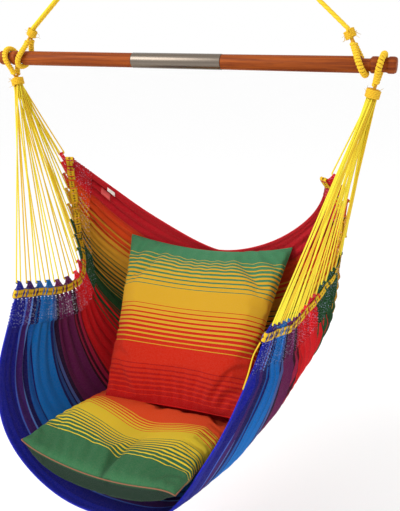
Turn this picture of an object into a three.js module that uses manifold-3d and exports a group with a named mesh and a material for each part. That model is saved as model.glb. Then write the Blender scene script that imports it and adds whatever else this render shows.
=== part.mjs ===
// Hammock chair: a cloth seat slung by two fans of cords from a spreader bar, and two loose cushions.
// Millimetres. X runs along the spreader bar, the open front of the seat faces -Y, and +Z is up.
// The origin is the inner top of the hanging eye, where the hook bears.
import * as THREE from "three";
import { mergeVertices } from "three/addons/utils/BufferGeometryUtils.js";
import Module from "manifold-3d";

const wasm = await Module();
wasm.setup();

// Running gap between neighbouring pieces, and the distance within which shared corners are one
const clearance = 0.3;
const weldDistance = 0.0005;

// Spreader bar: two turned wooden halves joined by a metal sleeve
const barLength = 1000;
const barDiameter = 35;
const barDrop = 487;
const barEndRadius = 6;
const barSegments = 16;
const sleeveLength = 226;
const sleeveThickness = 1.5;
const grooveChamferWidth = 2.5;

// Grooves in the bar: the inner one holds a rope loop, the outer one a clew loop
const ropeGrooveEndDistance = 63;
const ropeGrooveDistance = barLength / 2 - ropeGrooveEndDistance;
const ropeGrooveWidth = 19;
const ropeGrooveDepth = 4.7;
const clewGrooveEndDistance = 28;
const clewGrooveDistance = barLength / 2 - clewGrooveEndDistance;
const clewGrooveWidth = 19;
const clewGrooveDepth = 2.6;

// Whipping cord, wound round every loop, and the core that it is wound on
const whippingDiameter = 3.6;
const whippingSides = 4;
const stepsPerTurn = 7;
const coreDiameter = 6.4;
const coreSides = 8;
const bindingPitch = 5;
const bindingTurns = 3;

// Hanging rope: two strands in each leg, from the eye down to a loop round the bar
const strandDiameter = 8.5;
const strandSides = 8;
const strandSpacing = 9.2;

// Hanging eye
const eyeHalfWidth = 23;
const eyeThroatLength = 26;
const eyeTurns = 10;

// Rope loops, whose throats lean towards the middle of the bar
const ropeLoopSeatRadius = 22.6;
const ropeLoopHalfWidth = 26.4;
const ropeLoopThroatLength = 48;
const ropeLoopTurns = 12;
const ropeLoopLean = 0.43;

// Clew loops, from which the fans of cords hang
const clewLoopSeatRadius = 22.7;
const clewLoopHalfWidth = 26.4;
const clewLoopThroatLength = 40;
const clewLoopTurns = 12;
const clewLoopLean = 0.2;

// Sizes that all three kinds of loop share
const throatSpacing = 16.8;
const stubSpacing = 8.8;
const stubLength = 10;

// Fan of cords on each side
const cordDiameter = 3.6;
const cordSides = 4;
const gatherLength = 20;
const gatherSides = 10;

// Cloth of the seat, which hangs a little inside the clews
const clothInsetWidth = 78;
const clothHalfWidth = clewGrooveDistance - clothInsetWidth;
const clothDepth = 340;
const clothDrop = 1055;
const clothThickness = 2.4;
const clothColumns = 24;
const clothSwayWidth = 88;
const foldDepth = 7;
const foldLength = 190;

// Edge of the cloth on each side: warp knotted into an open net of three rows of gaps, a woven band
// across it, and tongues above it
const tongueCount = 16;
const tongueWidth = 34;
const tongueTipWidth = 18;
const tongueHeight = 14;
const edgeHemWidth = 7;
const netWidth = 70;
const netRowCount = 3;
const netKnotWidth = 5;
const bandWidth = 21;
const bandThickness = 1.4;
const bandEndClearance = 2;
const bandClearance = 0.8;
const rollThickness = 1.5;
const cordEmbedLength = 2.5;
const cordTurnRadius = 3.2;

// Cushions
const cushionGrid = 12;
const pipingHeight = 6;
const seatCushionSideDistance = 174;
const seatCushionWidth = 2 * (clothHalfWidth - seatCushionSideDistance);
const seatCushionDepth = 400;
const seatCushionCrownHeight = 42;
const seatCushionBellyDepth = 28;
const seatCushionOffsetY = -185;
const seatCushionOffsetX = -30;
const seatCushionOffsetZ = -905;
const seatCushionBendHeight = 40;
const seatCushionTilt = -0.13;
const seatCushionYaw = -0.12;
const backCushionSideDistance = 149;
const backCushionWidth = 2 * (clothHalfWidth - backCushionSideDistance);
const backCushionHeight = 485;
const backCushionCrownHeight = 56;
const backCushionBellyDepth = 30;
const backCushionOffsetY = 128;
const backCushionOffsetZ = -745;
const backCushionOffsetX = 5;
const backCushionBendHeight = 50;
const backCushionLean = 0.84;
const backCushionRoll = 0.04;
const settleHeight = 150;
const seatClearance = 1.4;

// Rows of the cloth from the front hem to the top hem. Each is a sagging line from one side edge
// through the middle to the other: its end across, back and down, then its middle back and down, as
// shares of the half width, reach and drop, then how full and how early the line bends
const rowShares = [
  [0.794, -0.794, 0.506, -1.0, 0.995, 2.6, 1.0],
  [0.802, -0.459, 0.542, -0.588, 1.0, 2.8, 1.0],
  [0.812, -0.203, 0.569, -0.088, 0.998, 2.7, 1.0],
  [0.817, 0.07, 0.573, 0.265, 0.948, 2.4, 1.0],
  [0.9, 0.294, 0.531, 0.559, 0.834, 2.2, 1.0],
  [0.972, 0.385, 0.477, 0.691, 0.739, 2.2, 0.9],
  [0.985, 0.366, 0.341, 0.794, 0.626, 1.8, 0.85],
  [0.89, 0.176, 0.252, 0.853, 0.529, 1.5, 0.7],
];
// How much fuller the right half of the top hem hangs than its left half
const skewShare = 0.13;
const rowSamples = 48;

// Finishes
const yellowCord = { color: 0xe8c828, roughness: 0.75, metalness: 0 };
const yellowBand = { color: 0xe6b422, roughness: 0.8, metalness: 0 };
const turnedWood = { color: 0xa9683c, roughness: 0.45, metalness: 0 };
const satinMetal = { color: 0xb9b0a8, roughness: 0.35, metalness: 0.9 };
const wovenCloth = { color: 0x2036a0, roughness: 0.9, metalness: 0 };
const openWarp = { color: 0x1f3f8f, roughness: 0.95, metalness: 0 };
const seatCover = { color: 0xe8b838, roughness: 0.9, metalness: 0 };
const backCover = { color: 0xe26a26, roughness: 0.9, metalness: 0 };

const whippingRadius = whippingDiameter / 2;
const coreRadius = coreDiameter / 2;
const cordRadius = cordDiameter / 2;
const strandRadius = strandDiameter / 2;
const barRadius = barDiameter / 2;
const sideNames = { "-1": "left", 1: "right" };

// Adds a named mesh to a group
function addPiece(group, name, geometry, finish) {
  const mesh = new THREE.Mesh(geometry, new THREE.MeshStandardMaterial(finish));
  mesh.name = name;
  group.add(mesh);
  return mesh;
}

// A geometry as a solid for joining and cutting
function solidFrom(geometry) {
  const bare = geometry.index ? geometry.toNonIndexed() : geometry.clone();
  bare.deleteAttribute("normal");
  bare.deleteAttribute("uv");
  const merged = mergeVertices(bare, weldDistance);
  const mesh = new wasm.Mesh({
    numProp: 3,
    vertProperties: merged.attributes.position.array,
    triVerts: new Uint32Array(merged.index.array),
  });
  return new wasm.Manifold(mesh);
}

// A joined or cut solid back as a geometry
function geometryFrom(solid) {
  const mesh = solid.getMesh();
  const geometry = new THREE.BufferGeometry();
  geometry.setAttribute("position", new THREE.BufferAttribute(new Float32Array(mesh.vertProperties), 3));
  geometry.setIndex(new THREE.BufferAttribute(new Uint32Array(mesh.triVerts), 1));
  return geometry;
}

// A geometry from corners and triangles, turned so that its faces point out
function closedGeometry(corners, triangles) {
  let volume = 0;
  const b = new THREE.Vector3();
  for (const [i, j, k] of triangles) volume += corners[i].dot(b.crossVectors(corners[j], corners[k]));
  const outward = volume < 0 ? triangles.map(([i, j, k]) => [i, k, j]) : triangles;
  const geometry = new THREE.BufferGeometry().setFromPoints(corners);
  geometry.setIndex(outward.flat());
  return geometry;
}

// Direction of a line of points at one of them
function directionAt(points, i) {
  const ahead = points[Math.min(i + 1, points.length - 1)];
  const behind = points[Math.max(i - 1, 0)];
  return ahead.clone().sub(behind).normalize();
}

// A tube through a line of points, with a ring of corners at each and a flat cap at both ends
function tubeThrough(points, radius, sides) {
  const corners = [];
  const triangles = [];
  const first = directionAt(points, 0);
  const upright = Math.abs(first.z) > Math.SQRT1_2;
  const normal = upright ? new THREE.Vector3(1, 0, 0) : new THREE.Vector3(0, 0, 1);
  points.forEach((point, i) => {
    const along = directionAt(points, i);
    normal.addScaledVector(along, -normal.dot(along)).normalize();
    const across = along.clone().cross(normal);
    for (let k = 0; k < sides; k += 1) {
      const turn = (2 * Math.PI * (k + 0.5)) / sides;
      const corner = point.clone().addScaledVector(normal, radius * Math.cos(turn));
      corners.push(corner.addScaledVector(across, radius * Math.sin(turn)));
    }
  });
  const last = (points.length - 1) * sides;
  for (let ring = 0; ring < last; ring += sides) {
    for (let k = 0; k < sides; k += 1) {
      const next = (k + 1) % sides;
      triangles.push([ring + k, ring + next, ring + sides + next]);
      triangles.push([ring + k, ring + sides + next, ring + sides + k]);
    }
  }
  for (let k = 1; k < sides - 1; k += 1) {
    triangles.push([0, k + 1, k]);
    triangles.push([last, last + k, last + k + 1]);
  }
  return closedGeometry(corners, triangles);
}

// A sheet with thickness over a grid of cells: cornerAt gives the two faces' corners at a grid place,
// and isThere says which cells hold cloth. Each edge of a missing cell gets a wall
function sheetOver(columns, rows, cornerAt, isThere = () => true) {
  const corners = [];
  const triangles = [];
  const place = (i, j) => 2 * (i * (rows + 1) + j);
  for (let i = 0; i <= columns; i += 1) {
    for (let j = 0; j <= rows; j += 1) corners.push(...cornerAt(i, j));
  }
  const holds = (i, j) => i >= 0 && j >= 0 && i < columns && j < rows && isThere(i, j);
  const wall = (p, q) => {
    if (p < q) triangles.push([q + 1, p + 1, p], [q + 1, p, q]);
    else triangles.push([q + 1, p + 1, q], [p + 1, p, q]);
  };
  for (let i = 0; i < columns; i += 1) {
    for (let j = 0; j < rows; j += 1) {
      if (!holds(i, j)) continue;
      const [a, b, c, d] = [place(i, j), place(i + 1, j), place(i + 1, j + 1), place(i, j + 1)];
      triangles.push([a + 1, b + 1, c + 1], [a + 1, c + 1, d + 1]);
      triangles.push([a, c, b], [a, d, c]);
      if (!holds(i, j - 1)) wall(a, b);
      if (!holds(i + 1, j)) wall(b, c);
      if (!holds(i, j + 1)) wall(c, d);
      if (!holds(i - 1, j)) wall(d, a);
    }
  }
  const used = [...new Set(triangles.flat())];
  const renumbered = new Map(used.map((corner, i) => [corner, i]));
  return closedGeometry(
    used.map((corner) => corners[corner]),
    triangles.map((triangle) => triangle.map((corner) => renumbered.get(corner))),
  );
}

// Radius at which a winding of few steps a turn stays clear of the round piece inside it
function windingRadius(innerRadius) {
  return (innerRadius + clearance + whippingRadius) / Math.cos(Math.PI / stepsPerTurn);
}

// Least gap between the turns of a winding, measured on its points
function leastGap(points) {
  let least = Infinity;
  for (let i = 0; i < points.length; i += 1) {
    for (let j = i + stepsPerTurn - 2; j < points.length; j += 1) {
      least = Math.min(least, points[i].distanceTo(points[j]));
    }
  }
  return least - whippingDiameter;
}

// A winding as one unbroken tube, with straight ends one cord diameter long
function wound(name, points) {
  const start = directionAt(points, 0).multiplyScalar(-whippingDiameter).add(points[0]);
  const end = directionAt(points, points.length - 1).multiplyScalar(whippingDiameter).add(points.at(-1));
  console.log(name + " least gap to itself " + leastGap(points).toFixed(2) + " mm");
  return tubeThrough([start, ...points, end], whippingRadius, whippingSides);
}

// Centre line of a loop in its own plane: over the seat, down both sides, in to the throat and out
// along two stubs. Its seat is at -Y, its throat at +Y
function loopLine(seat, halfWidth, throatLength) {
  const half = [];
  const arcSteps = 3;
  const sideSteps = 4;
  const throatHalf = throatSpacing / 2;
  for (let i = 1; i <= arcSteps; i += 1) {
    const turn = (Math.PI / 2) * (i / arcSteps);
    half.push(new THREE.Vector3(halfWidth * Math.sin(turn), -seat * Math.cos(turn), 0));
  }
  for (let i = 1; i <= sideSteps; i += 1) {
    const ease = (1 + Math.cos((Math.PI * i) / sideSteps)) / 2;
    const across = throatHalf + (halfWidth - throatHalf) * ease;
    half.push(new THREE.Vector3(across, (throatLength * i) / sideSteps, 0));
  }
  half.push(new THREE.Vector3(stubSpacing / 2, throatLength + stubLength * 0.65, 0));
  half.push(new THREE.Vector3(stubSpacing / 2, throatLength + stubLength, 0));
  const mirrored = half.map((point) => new THREE.Vector3(-point.x, point.y, 0)).reverse();
  const line = new THREE.CatmullRomCurve3([...mirrored, new THREE.Vector3(0, -seat, 0), ...half]);
  line.throatShare = (1.3 * stubLength) / line.getLength();
  return line;
}

// Core of a loop: the rope itself, bent round its seat
function loopCore(line) {
  const section = new THREE.Shape();
  for (let k = 0; k < coreSides; k += 1) {
    const turn = (2 * Math.PI * k) / coreSides;
    const corner = [coreRadius * Math.cos(turn), coreRadius * Math.sin(turn)];
    if (k === 0) section.moveTo(...corner);
    else section.lineTo(...corner);
  }
  return new THREE.ExtrudeGeometry(section, { steps: 20, extrudePath: line, curveSegments: 1 });
}

// Winding round a loop's core, from throat to throat
function loopWhipping(name, line, turns) {
  const radius = windingRadius(coreRadius);
  const points = [];
  const steps = turns * stepsPerTurn;
  for (let i = 0; i <= steps; i += 1) {
    const share = line.throatShare + (1 - 2 * line.throatShare) * (i / steps);
    const along = line.getTangentAt(share);
    const outward = new THREE.Vector3(along.y, -along.x, 0);
    const turn = (2 * Math.PI * i) / stepsPerTurn;
    const point = line.getPointAt(share).addScaledVector(outward, radius * Math.cos(turn));
    point.z += radius * Math.sin(turn);
    points.push(point);
  }
  return wound(name, points);
}

// Straight winding round the Y axis from a given place, as a binding holds strands together
function binding(name, innerRadius, startsAt) {
  const radius = windingRadius(innerRadius);
  const points = [];
  for (let i = 0; i <= bindingTurns * stepsPerTurn; i += 1) {
    const turn = (2 * Math.PI * i) / stepsPerTurn;
    const along = startsAt + (bindingPitch * i) / stepsPerTurn;
    points.push(new THREE.Vector3(radius * Math.cos(turn), along, radius * Math.sin(turn)));
  }
  return wound(name, points);
}

// A group whose local X, Y and Z run across a loop, towards its throat and square to its plane
function loopGroup(centre, across, towardsThroat) {
  const group = new THREE.Group();
  const basis = new THREE.Matrix4().makeBasis(across, towardsThroat, across.clone().cross(towardsThroat));
  group.position.copy(centre);
  group.quaternion.setFromRotationMatrix(basis);
  group.updateMatrixWorld(true);
  return group;
}

// Spreader bar

// Outline of one wooden half, from the joint at the middle out to its rounded end
function barOutline() {
  const tenon = barRadius - sleeveThickness - clearance;
  const end = barLength / 2;
  const points = [
    new THREE.Vector2(0, clearance / 2),
    new THREE.Vector2(tenon, clearance / 2),
    new THREE.Vector2(tenon, sleeveLength / 2 + clearance),
    new THREE.Vector2(barRadius, sleeveLength / 2 + clearance),
  ];
  const addGroove = (place, width, depth) => {
    points.push(new THREE.Vector2(barRadius, place - width / 2 - grooveChamferWidth));
    points.push(new THREE.Vector2(barRadius - depth, place - width / 2 + grooveChamferWidth));
    points.push(new THREE.Vector2(barRadius - depth, place + width / 2 - grooveChamferWidth));
    points.push(new THREE.Vector2(barRadius, place + width / 2 + grooveChamferWidth));
  };
  addGroove(ropeGrooveDistance, ropeGrooveWidth, ropeGrooveDepth);
  addGroove(clewGrooveDistance, clewGrooveWidth, clewGrooveDepth);
  for (let i = 0; i <= 2; i += 1) {
    const turn = (Math.PI / 4) * i;
    const radius = barRadius - barEndRadius * (1 - Math.cos(turn));
    points.push(new THREE.Vector2(radius, end - barEndRadius * (1 - Math.sin(turn))));
  }
  points.push(new THREE.Vector2(0, end));
  return points;
}

function addBarHalf(group, side) {
  const half = new THREE.LatheGeometry(barOutline(), barSegments);
  const mesh = addPiece(group, "bar_" + sideNames[side], half, turnedWood);
  mesh.rotation.z = (-side * Math.PI) / 2;
}

function addSleeve(group) {
  const inner = barRadius - sleeveThickness;
  const half = sleeveLength / 2;
  const outline = [
    new THREE.Vector2(inner, -half),
    new THREE.Vector2(barRadius, -half),
    new THREE.Vector2(barRadius, half),
    new THREE.Vector2(inner, half),
    new THREE.Vector2(inner, -half),
  ];
  const sleeve = new THREE.LatheGeometry(outline, barSegments);
  addPiece(group, "bar_sleeve", sleeve, satinMetal).rotation.z = Math.PI / 2;
}

// Hanging rope

// Frame of the eye: its inner top is the origin, and its throat is straight below
function eyeGroup() {
  const centre = new THREE.Vector3(0, 0, coreRadius + windingReach() - eyeHalfWidth);
  return loopGroup(centre, new THREE.Vector3(1, 0, 0), new THREE.Vector3(0, 0, -1));
}

// How far a whipping stands proud of its core
function windingReach() {
  return windingRadius(coreRadius) + whippingRadius - coreRadius;
}

// Frame of a rope loop: it hangs under the bar in its groove, and its throat leans up and inwards
function ropeLoopGroup(side) {
  const towardsThroat = new THREE.Vector3(-side * ropeLoopLean, 0, Math.sqrt(1 - ropeLoopLean ** 2));
  const aside = ropeGrooveDistance - ropeLoopLean * ropeLoopSeatRadius;
  const centre = new THREE.Vector3(side * aside, 0, -barDrop);
  return loopGroup(centre, new THREE.Vector3(0, -side, 0), towardsThroat);
}

// A loop's core, whipping and throat binding, in the loop's own group
function addLoop(group, name, line, turns, throatRadius, throatLength) {
  addPiece(group, name + "_core", loopCore(line), yellowCord);
  addPiece(group, name + "_whipping", loopWhipping(name + "_whipping", line, turns), yellowCord);
  const startsAt = throatLength + stubLength + clearance + whippingRadius;
  const bound = binding(name + "_binding", throatRadius, startsAt);
  addPiece(group, name + "_binding", bound, yellowCord);
}

// One strand: out of the eye's binding, down the leg and into the rope loop's binding
function addStrand(parent, side, depth) {
  const spacing = strandSpacing / 2;
  const topLocal = eyeThroatLength + stubLength + clearance;
  const boundLength = bindingTurns * bindingPitch + 2 * whippingDiameter;
  const bottomLocal = ropeLoopThroatLength + stubLength + clearance;
  const eye = eyeGroup();
  const loop = ropeLoopGroup(side);
  const points = [
    eye.localToWorld(new THREE.Vector3(side * spacing, topLocal, depth * spacing)),
    eye.localToWorld(new THREE.Vector3(side * spacing, topLocal + boundLength, depth * spacing)),
    loop.localToWorld(new THREE.Vector3(-side * depth * spacing, bottomLocal + boundLength, 0)),
    loop.localToWorld(new THREE.Vector3(-side * depth * spacing, bottomLocal, 0)),
  ];
  const name = "rope_" + sideNames[side] + (depth < 0 ? "_front" : "_rear");
  addPiece(parent, name, tubeThrough(points, strandRadius, strandSides), yellowCord);
}

function addSuspension(root) {
  const eye = eyeGroup();
  const eyeLine = loopLine(eyeHalfWidth, eyeHalfWidth, eyeThroatLength);
  const fourStrands = (strandSpacing / 2) * Math.SQRT2 + strandRadius;
  addLoop(eye, "hanging_eye", eyeLine, eyeTurns, fourStrands, eyeThroatLength);
  root.add(eye);
  for (const side of [-1, 1]) {
    const loop = ropeLoopGroup(side);
    const line = loopLine(ropeLoopSeatRadius, ropeLoopHalfWidth, ropeLoopThroatLength);
    const twoStrands = strandSpacing / 2 + strandRadius;
    addLoop(loop, "rope_loop_" + sideNames[side], line, ropeLoopTurns, twoStrands, ropeLoopThroatLength);
    root.add(loop);
    addStrand(root, side, -1);
    addStrand(root, side, 1);
  }
}

// Cloth of the seat

// Value between the rows of the table, along a smooth curve through them
function rowValue(column, v) {
  const last = rowShares.length - 1;
  const at = Math.min(Math.max(v, 0), 1) * last;
  const i = Math.min(Math.floor(at), last - 1);
  const t = at - i;
  const value = (k) => rowShares[Math.min(Math.max(k, 0), last)][column];
  const [p, q, r, s] = [value(i - 1), value(i), value(i + 1), value(i + 2)];
  const slope = (r - p) / 2;
  const nextSlope = (s - q) / 2;
  const t2 = t * t;
  const t3 = t2 * t;
  const level = (2 * t3 - 3 * t2 + 1) * q + (3 * t2 - 2 * t3) * r;
  return level + (t3 - 2 * t2 + t) * slope + (t3 - t2) * nextSlope;
}

// One half of a row as points from its middle to its end, with the distance run to each
const rowCache = new Map();
function rowAt(v, side) {
  const key = side * (1 + v);
  if (rowCache.has(key)) return rowCache.get(key);
  const values = rowShares[0].map((share, k) => rowValue(k, v));
  const [endX, endY, endZ, middleY, middleZ, evenFullness, ease] = values;
  const fullness = evenFullness * (1 + side * skewShare * v ** 3);
  const points = [];
  const runs = [0];
  for (let i = 0; i <= rowSamples; i += 1) {
    const turn = (Math.PI / 2) * (i / rowSamples);
    const x = clothHalfWidth * endX * Math.abs(Math.sin(turn)) ** (2 / fullness);
    const sag = Math.max(Math.cos(turn), 0) ** (2 / fullness);
    const y = clothDepth * (endY + (middleY - endY) * sag ** ease);
    const z = -clothDrop * (endZ + (middleZ - endZ) * sag);
    points.push(new THREE.Vector3(x, y, z));
    if (i > 0) runs.push(runs[i - 1] + points[i].distanceTo(points[i - 1]));
  }
  const row = { points, runs, length: runs[rowSamples] };
  rowCache.set(key, row);
  return row;
}

// Sideways swing of the hanging cloth: most in the front and half way down, a little back in the rear
function swayShare(v, depthShare) {
  const hang = Math.min(Math.max((depthShare - 0.5) / 0.5, 0), 1);
  const forward = Math.max(1 - 2.6 * v, -0.45);
  return forward * Math.sin(0.8 * Math.PI * hang ** 1.3);
}

// Point of the cloth on a row, a given distance from the middle, before folds; side picks left or right
function smoothClothPoint(v, run, side) {
  const row = rowAt(v, side);
  let i = 0;
  while (i < rowSamples - 1 && row.runs[i + 1] < run) i += 1;
  const share = (run - row.runs[i]) / (row.runs[i + 1] - row.runs[i]);
  const point = row.points[i].clone().lerp(row.points[i + 1], share);
  point.x = side * point.x - clothSwayWidth * swayShare(v, -point.z / clothDrop);
  point.z -= barDrop;
  return point;
}

// Square to the cloth, away from the seat
function clothNormal(v, run, side) {
  const stepShare = 0.01;
  const length = rowAt(v, side).length;
  const before = smoothClothPoint(Math.max(v - stepShare, 0), run, side);
  const after = smoothClothPoint(Math.min(v + stepShare, 1), run, side);
  const inward = smoothClothPoint(v, Math.max(run - stepShare * length, 0), side);
  const outward = smoothClothPoint(v, Math.min(run + stepShare * length, length), side);
  const normal = after.sub(before).cross(outward.sub(inward)).normalize();
  return normal.multiplyScalar(side);
}

// Height of the folds that run down from the tongues and fade out towards the seat
function foldHeight(v, run, side) {
  const fromEdge = rowAt(v, side).length - run;
  const fade = Math.exp(-((fromEdge / foldLength) ** 2));
  const foldCount = 5;
  return foldDepth * fade * (1 - Math.cos(2 * Math.PI * foldCount * v)) * 0.5;
}

// Inner and outer corner of the cloth on a row, a given distance from the middle
function clothCorner(v, run, side) {
  const point = smoothClothPoint(v, run, side);
  const normal = clothNormal(v, run, side);
  const edgeRoom = Math.min((rowAt(v, side).length - edgeDepth - run) / foldLength, 1);
  point.addScaledVector(normal, foldHeight(v, run, side) * Math.max(edgeRoom, 0));
  return [point, point.clone().addScaledVector(normal, clothThickness)];
}

// How far the net and its hem reach below the line of the band's middle, and how far down in the net
// the edge takes its direction from the cloth
const edgeDepth = bandWidth / 2 + netWidth + edgeHemWidth;
const edgeNormalDepth = bandWidth / 2 + netWidth * 0.736;

// The cloth's rows start at the tongues, so that its edge and the net's hem bend at the same places
function addCloth(hammock) {
  const middle = clothColumns / 2;
  const cornerAt = (i, j) => {
    const v = stationRow(j);
    const side = i < middle ? -1 : 1;
    const reach = rowAt(v, side).length - edgeDepth - clearance;
    return clothCorner(v, (Math.abs(i - middle) / middle) * reach, side);
  };
  return addPiece(hammock, "cloth", sheetOver(clothColumns, tongueCount, cornerAt), wovenCloth);
}

// Side edges of the cloth

// A side edge, measured along its length: which of the cloth's rows ends at a given distance run
function measuredEdge() {
  const samples = 200;
  const runs = [0];
  for (let i = 1; i <= samples; i += 1) {
    const step = rowAt(i / samples, 1).points.at(-1).distanceTo(rowAt((i - 1) / samples, 1).points.at(-1));
    runs.push(runs[i - 1] + step);
  }
  const rowAtRun = (run) => {
    let i = 0;
    while (i < samples - 1 && runs[i + 1] < run) i += 1;
    const share = (run - runs[i]) / (runs[i + 1] - runs[i]);
    return Math.min(Math.max((i + share) / samples, 0), 1);
  };
  return { length: runs[samples], rowAtRun };
}
const edge = measuredEdge();

// Distance along the edge to a tongue's middle
function tongueRun(index) {
  return tongueWidth / 2 + ((edge.length - tongueWidth) * index) / (tongueCount - 1);
}

// Row of the cloth at the start of a tongue, and past the last tongue the top hem
function stationRow(index) {
  return index < tongueCount ? edge.rowAtRun(tongueRun(index) - tongueWidth / 2) : 1;
}

// Middle of the fan's gathered end, in the clew loop's own frame
const gatherStart = clewLoopThroatLength + stubLength + clearance;

// Frame of a clew loop: it lies over the bar in its groove, and its throat hangs down and inwards
function clewGroup(side) {
  const towardsThroat = new THREE.Vector3(-side * clewLoopLean, 0, -Math.sqrt(1 - clewLoopLean ** 2));
  const aside = clewGrooveDistance - clewLoopLean * clewLoopSeatRadius;
  const centre = new THREE.Vector3(side * aside, 0, -barDrop);
  return loopGroup(centre, new THREE.Vector3(0, side, 0), towardsThroat);
}

// Place on the side edge at a distance run along it, with the directions along the edge, out of the
// seat and square to both, then those up to the throat of the clew, and across and out, square to it
function edgeFrame(run, side) {
  const v = edge.rowAtRun(run);
  const stepShare = 0.01;
  const smoothShare = 0.05;
  const origin = smoothClothPoint(v, rowAt(v, side).length, side);
  const before = Math.max(v - stepShare, 0);
  const after = Math.min(v + stepShare, 1);
  const along = smoothClothPoint(after, rowAt(after, side).length, side);
  along.sub(smoothClothPoint(before, rowAt(before, side).length, side)).normalize();
  const normal = new THREE.Vector3();
  for (const near of [v - smoothShare, v, v + smoothShare]) {
    const row = Math.min(Math.max(near, 0), 1);
    normal.add(clothNormal(row, rowAt(row, side).length - edgeNormalDepth, side));
  }
  normal.addScaledVector(along, -normal.dot(along)).normalize();
  const square = normal.clone().cross(along).multiplyScalar(side);
  const throat = clewGroup(side).localToWorld(new THREE.Vector3(0, gatherStart + gatherLength, 0));
  const up = throat.sub(origin).normalize();
  const out = normal.clone().addScaledVector(up, -normal.dot(up)).normalize();
  const across = up.clone().cross(out).multiplyScalar(side);
  return { v, origin, along, normal, square, up, out, across, slant: Math.abs(along.dot(up)) };
}

// Point beside the side edge: within the band it lies square to the edge, below the band on the
// cloth's row
function edgePoint(run, height, offset, side) {
  const { v, origin, normal, square } = edgeFrame(run, side);
  if (height >= -bandWidth / 2) {
    return origin.addScaledVector(square, height).addScaledVector(normal, offset);
  }
  const length = rowAt(v, side).length;
  const point = smoothClothPoint(v, length + height, side);
  return point.addScaledVector(clothNormal(v, length + height, side), offset);
}

// Tongue of folded warp: its tip leans towards the throat, the more so where the edge is slanted, and
// rolls outwards over the turn of a cord
const boreStep = (5 * Math.PI) / 18;
const boreRadius = (cordRadius + clearance) / Math.cos(boreStep / 2);
const rollSteps = 5;

function tongueTip(index, side) {
  const frame = edgeFrame(tongueRun(index), side);
  const rise = tongueHeight + (tongueWidth / 2) * frame.slant;
  const half = (tongueTipWidth / 2) * Math.sqrt(1 - frame.slant ** 2);
  const foot = frame.origin.addScaledVector(frame.square, bandWidth / 2).addScaledVector(frame.up, rise);
  const centre = foot.clone().addScaledVector(frame.out, clothThickness + boreRadius);
  return { ...frame, half, centre };
}

// Inner and outer corner of a tongue's rolled tip, step by step round the bore
function rollCorners(index, step, way, side) {
  const { centre, up, out, across, half } = tongueTip(index, side);
  const turn = Math.PI - step * boreStep;
  const radial = out.clone().multiplyScalar(Math.cos(turn)).addScaledVector(up, Math.sin(turn));
  const middle = centre.addScaledVector(across, way * half);
  const wall = step === 0 ? clothThickness : rollThickness;
  return [boreRadius + wall, boreRadius].map((radius) => middle.clone().addScaledVector(radial, radius));
}

// Heights at which the net changes, from its hem up to the band: gaps and rows of knots by turns
function netHeights() {
  const gapHeight = (netWidth - (netRowCount - 1) * netKnotWidth) / netRowCount;
  const heights = [-edgeDepth];
  for (let row = 0; row < netRowCount; row += 1) {
    const start = -edgeDepth + edgeHemWidth + row * (gapHeight + netKnotWidth);
    heights.push(start, start + gapHeight);
  }
  heights.push(bandWidth / 2);
  return heights;
}

// Net, band backing and tongues of one side edge, each tongue with its rolled tip. The gaps of each
// row of the net lie between those of its neighbours
function addEdgeNet(hammock, side) {
  const heights = netHeights();
  const hemCorners = (index) => {
    const v = stationRow(index);
    return clothCorner(v, rowAt(v, side).length - edgeDepth, side);
  };
  const hemCornerAt = (i) => {
    const index = Math.floor(i / 2);
    if (i % 2 === 0 || index === tongueCount - 1) return hemCorners(Math.ceil(i / 2));
    const starts = hemCorners(index);
    const ends = hemCorners(index + 1);
    const share = tongueWidth / (tongueRun(index + 1) - tongueRun(index));
    return starts.map((corner, face) => corner.lerp(ends[face], share));
  };
  const cornerAt = (i, j) => {
    if (j === 0) return hemCornerAt(i);
    const index = Math.floor(i / 2);
    const way = i % 2 === 0 ? -1 : 1;
    if (j >= heights.length) return rollCorners(index, j - heights.length, way, side);
    const run = tongueRun(index) + (way * tongueWidth) / 2;
    return [0, clothThickness].map((offset) => edgePoint(run, heights[j], offset, side));
  };
  const bandRow = 2 * netRowCount;
  const isThere = (i, j) => {
    if (j > bandRow) return i % 2 === 0;
    return j % 2 === 0 || i % 2 === ((j - 1) / 2) % 2;
  };
  const net = sheetOver(2 * tongueCount - 1, heights.length + rollSteps, cornerAt, isThere);
  addPiece(hammock, "edge_net_" + sideNames[side], net, openWarp);
}

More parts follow.
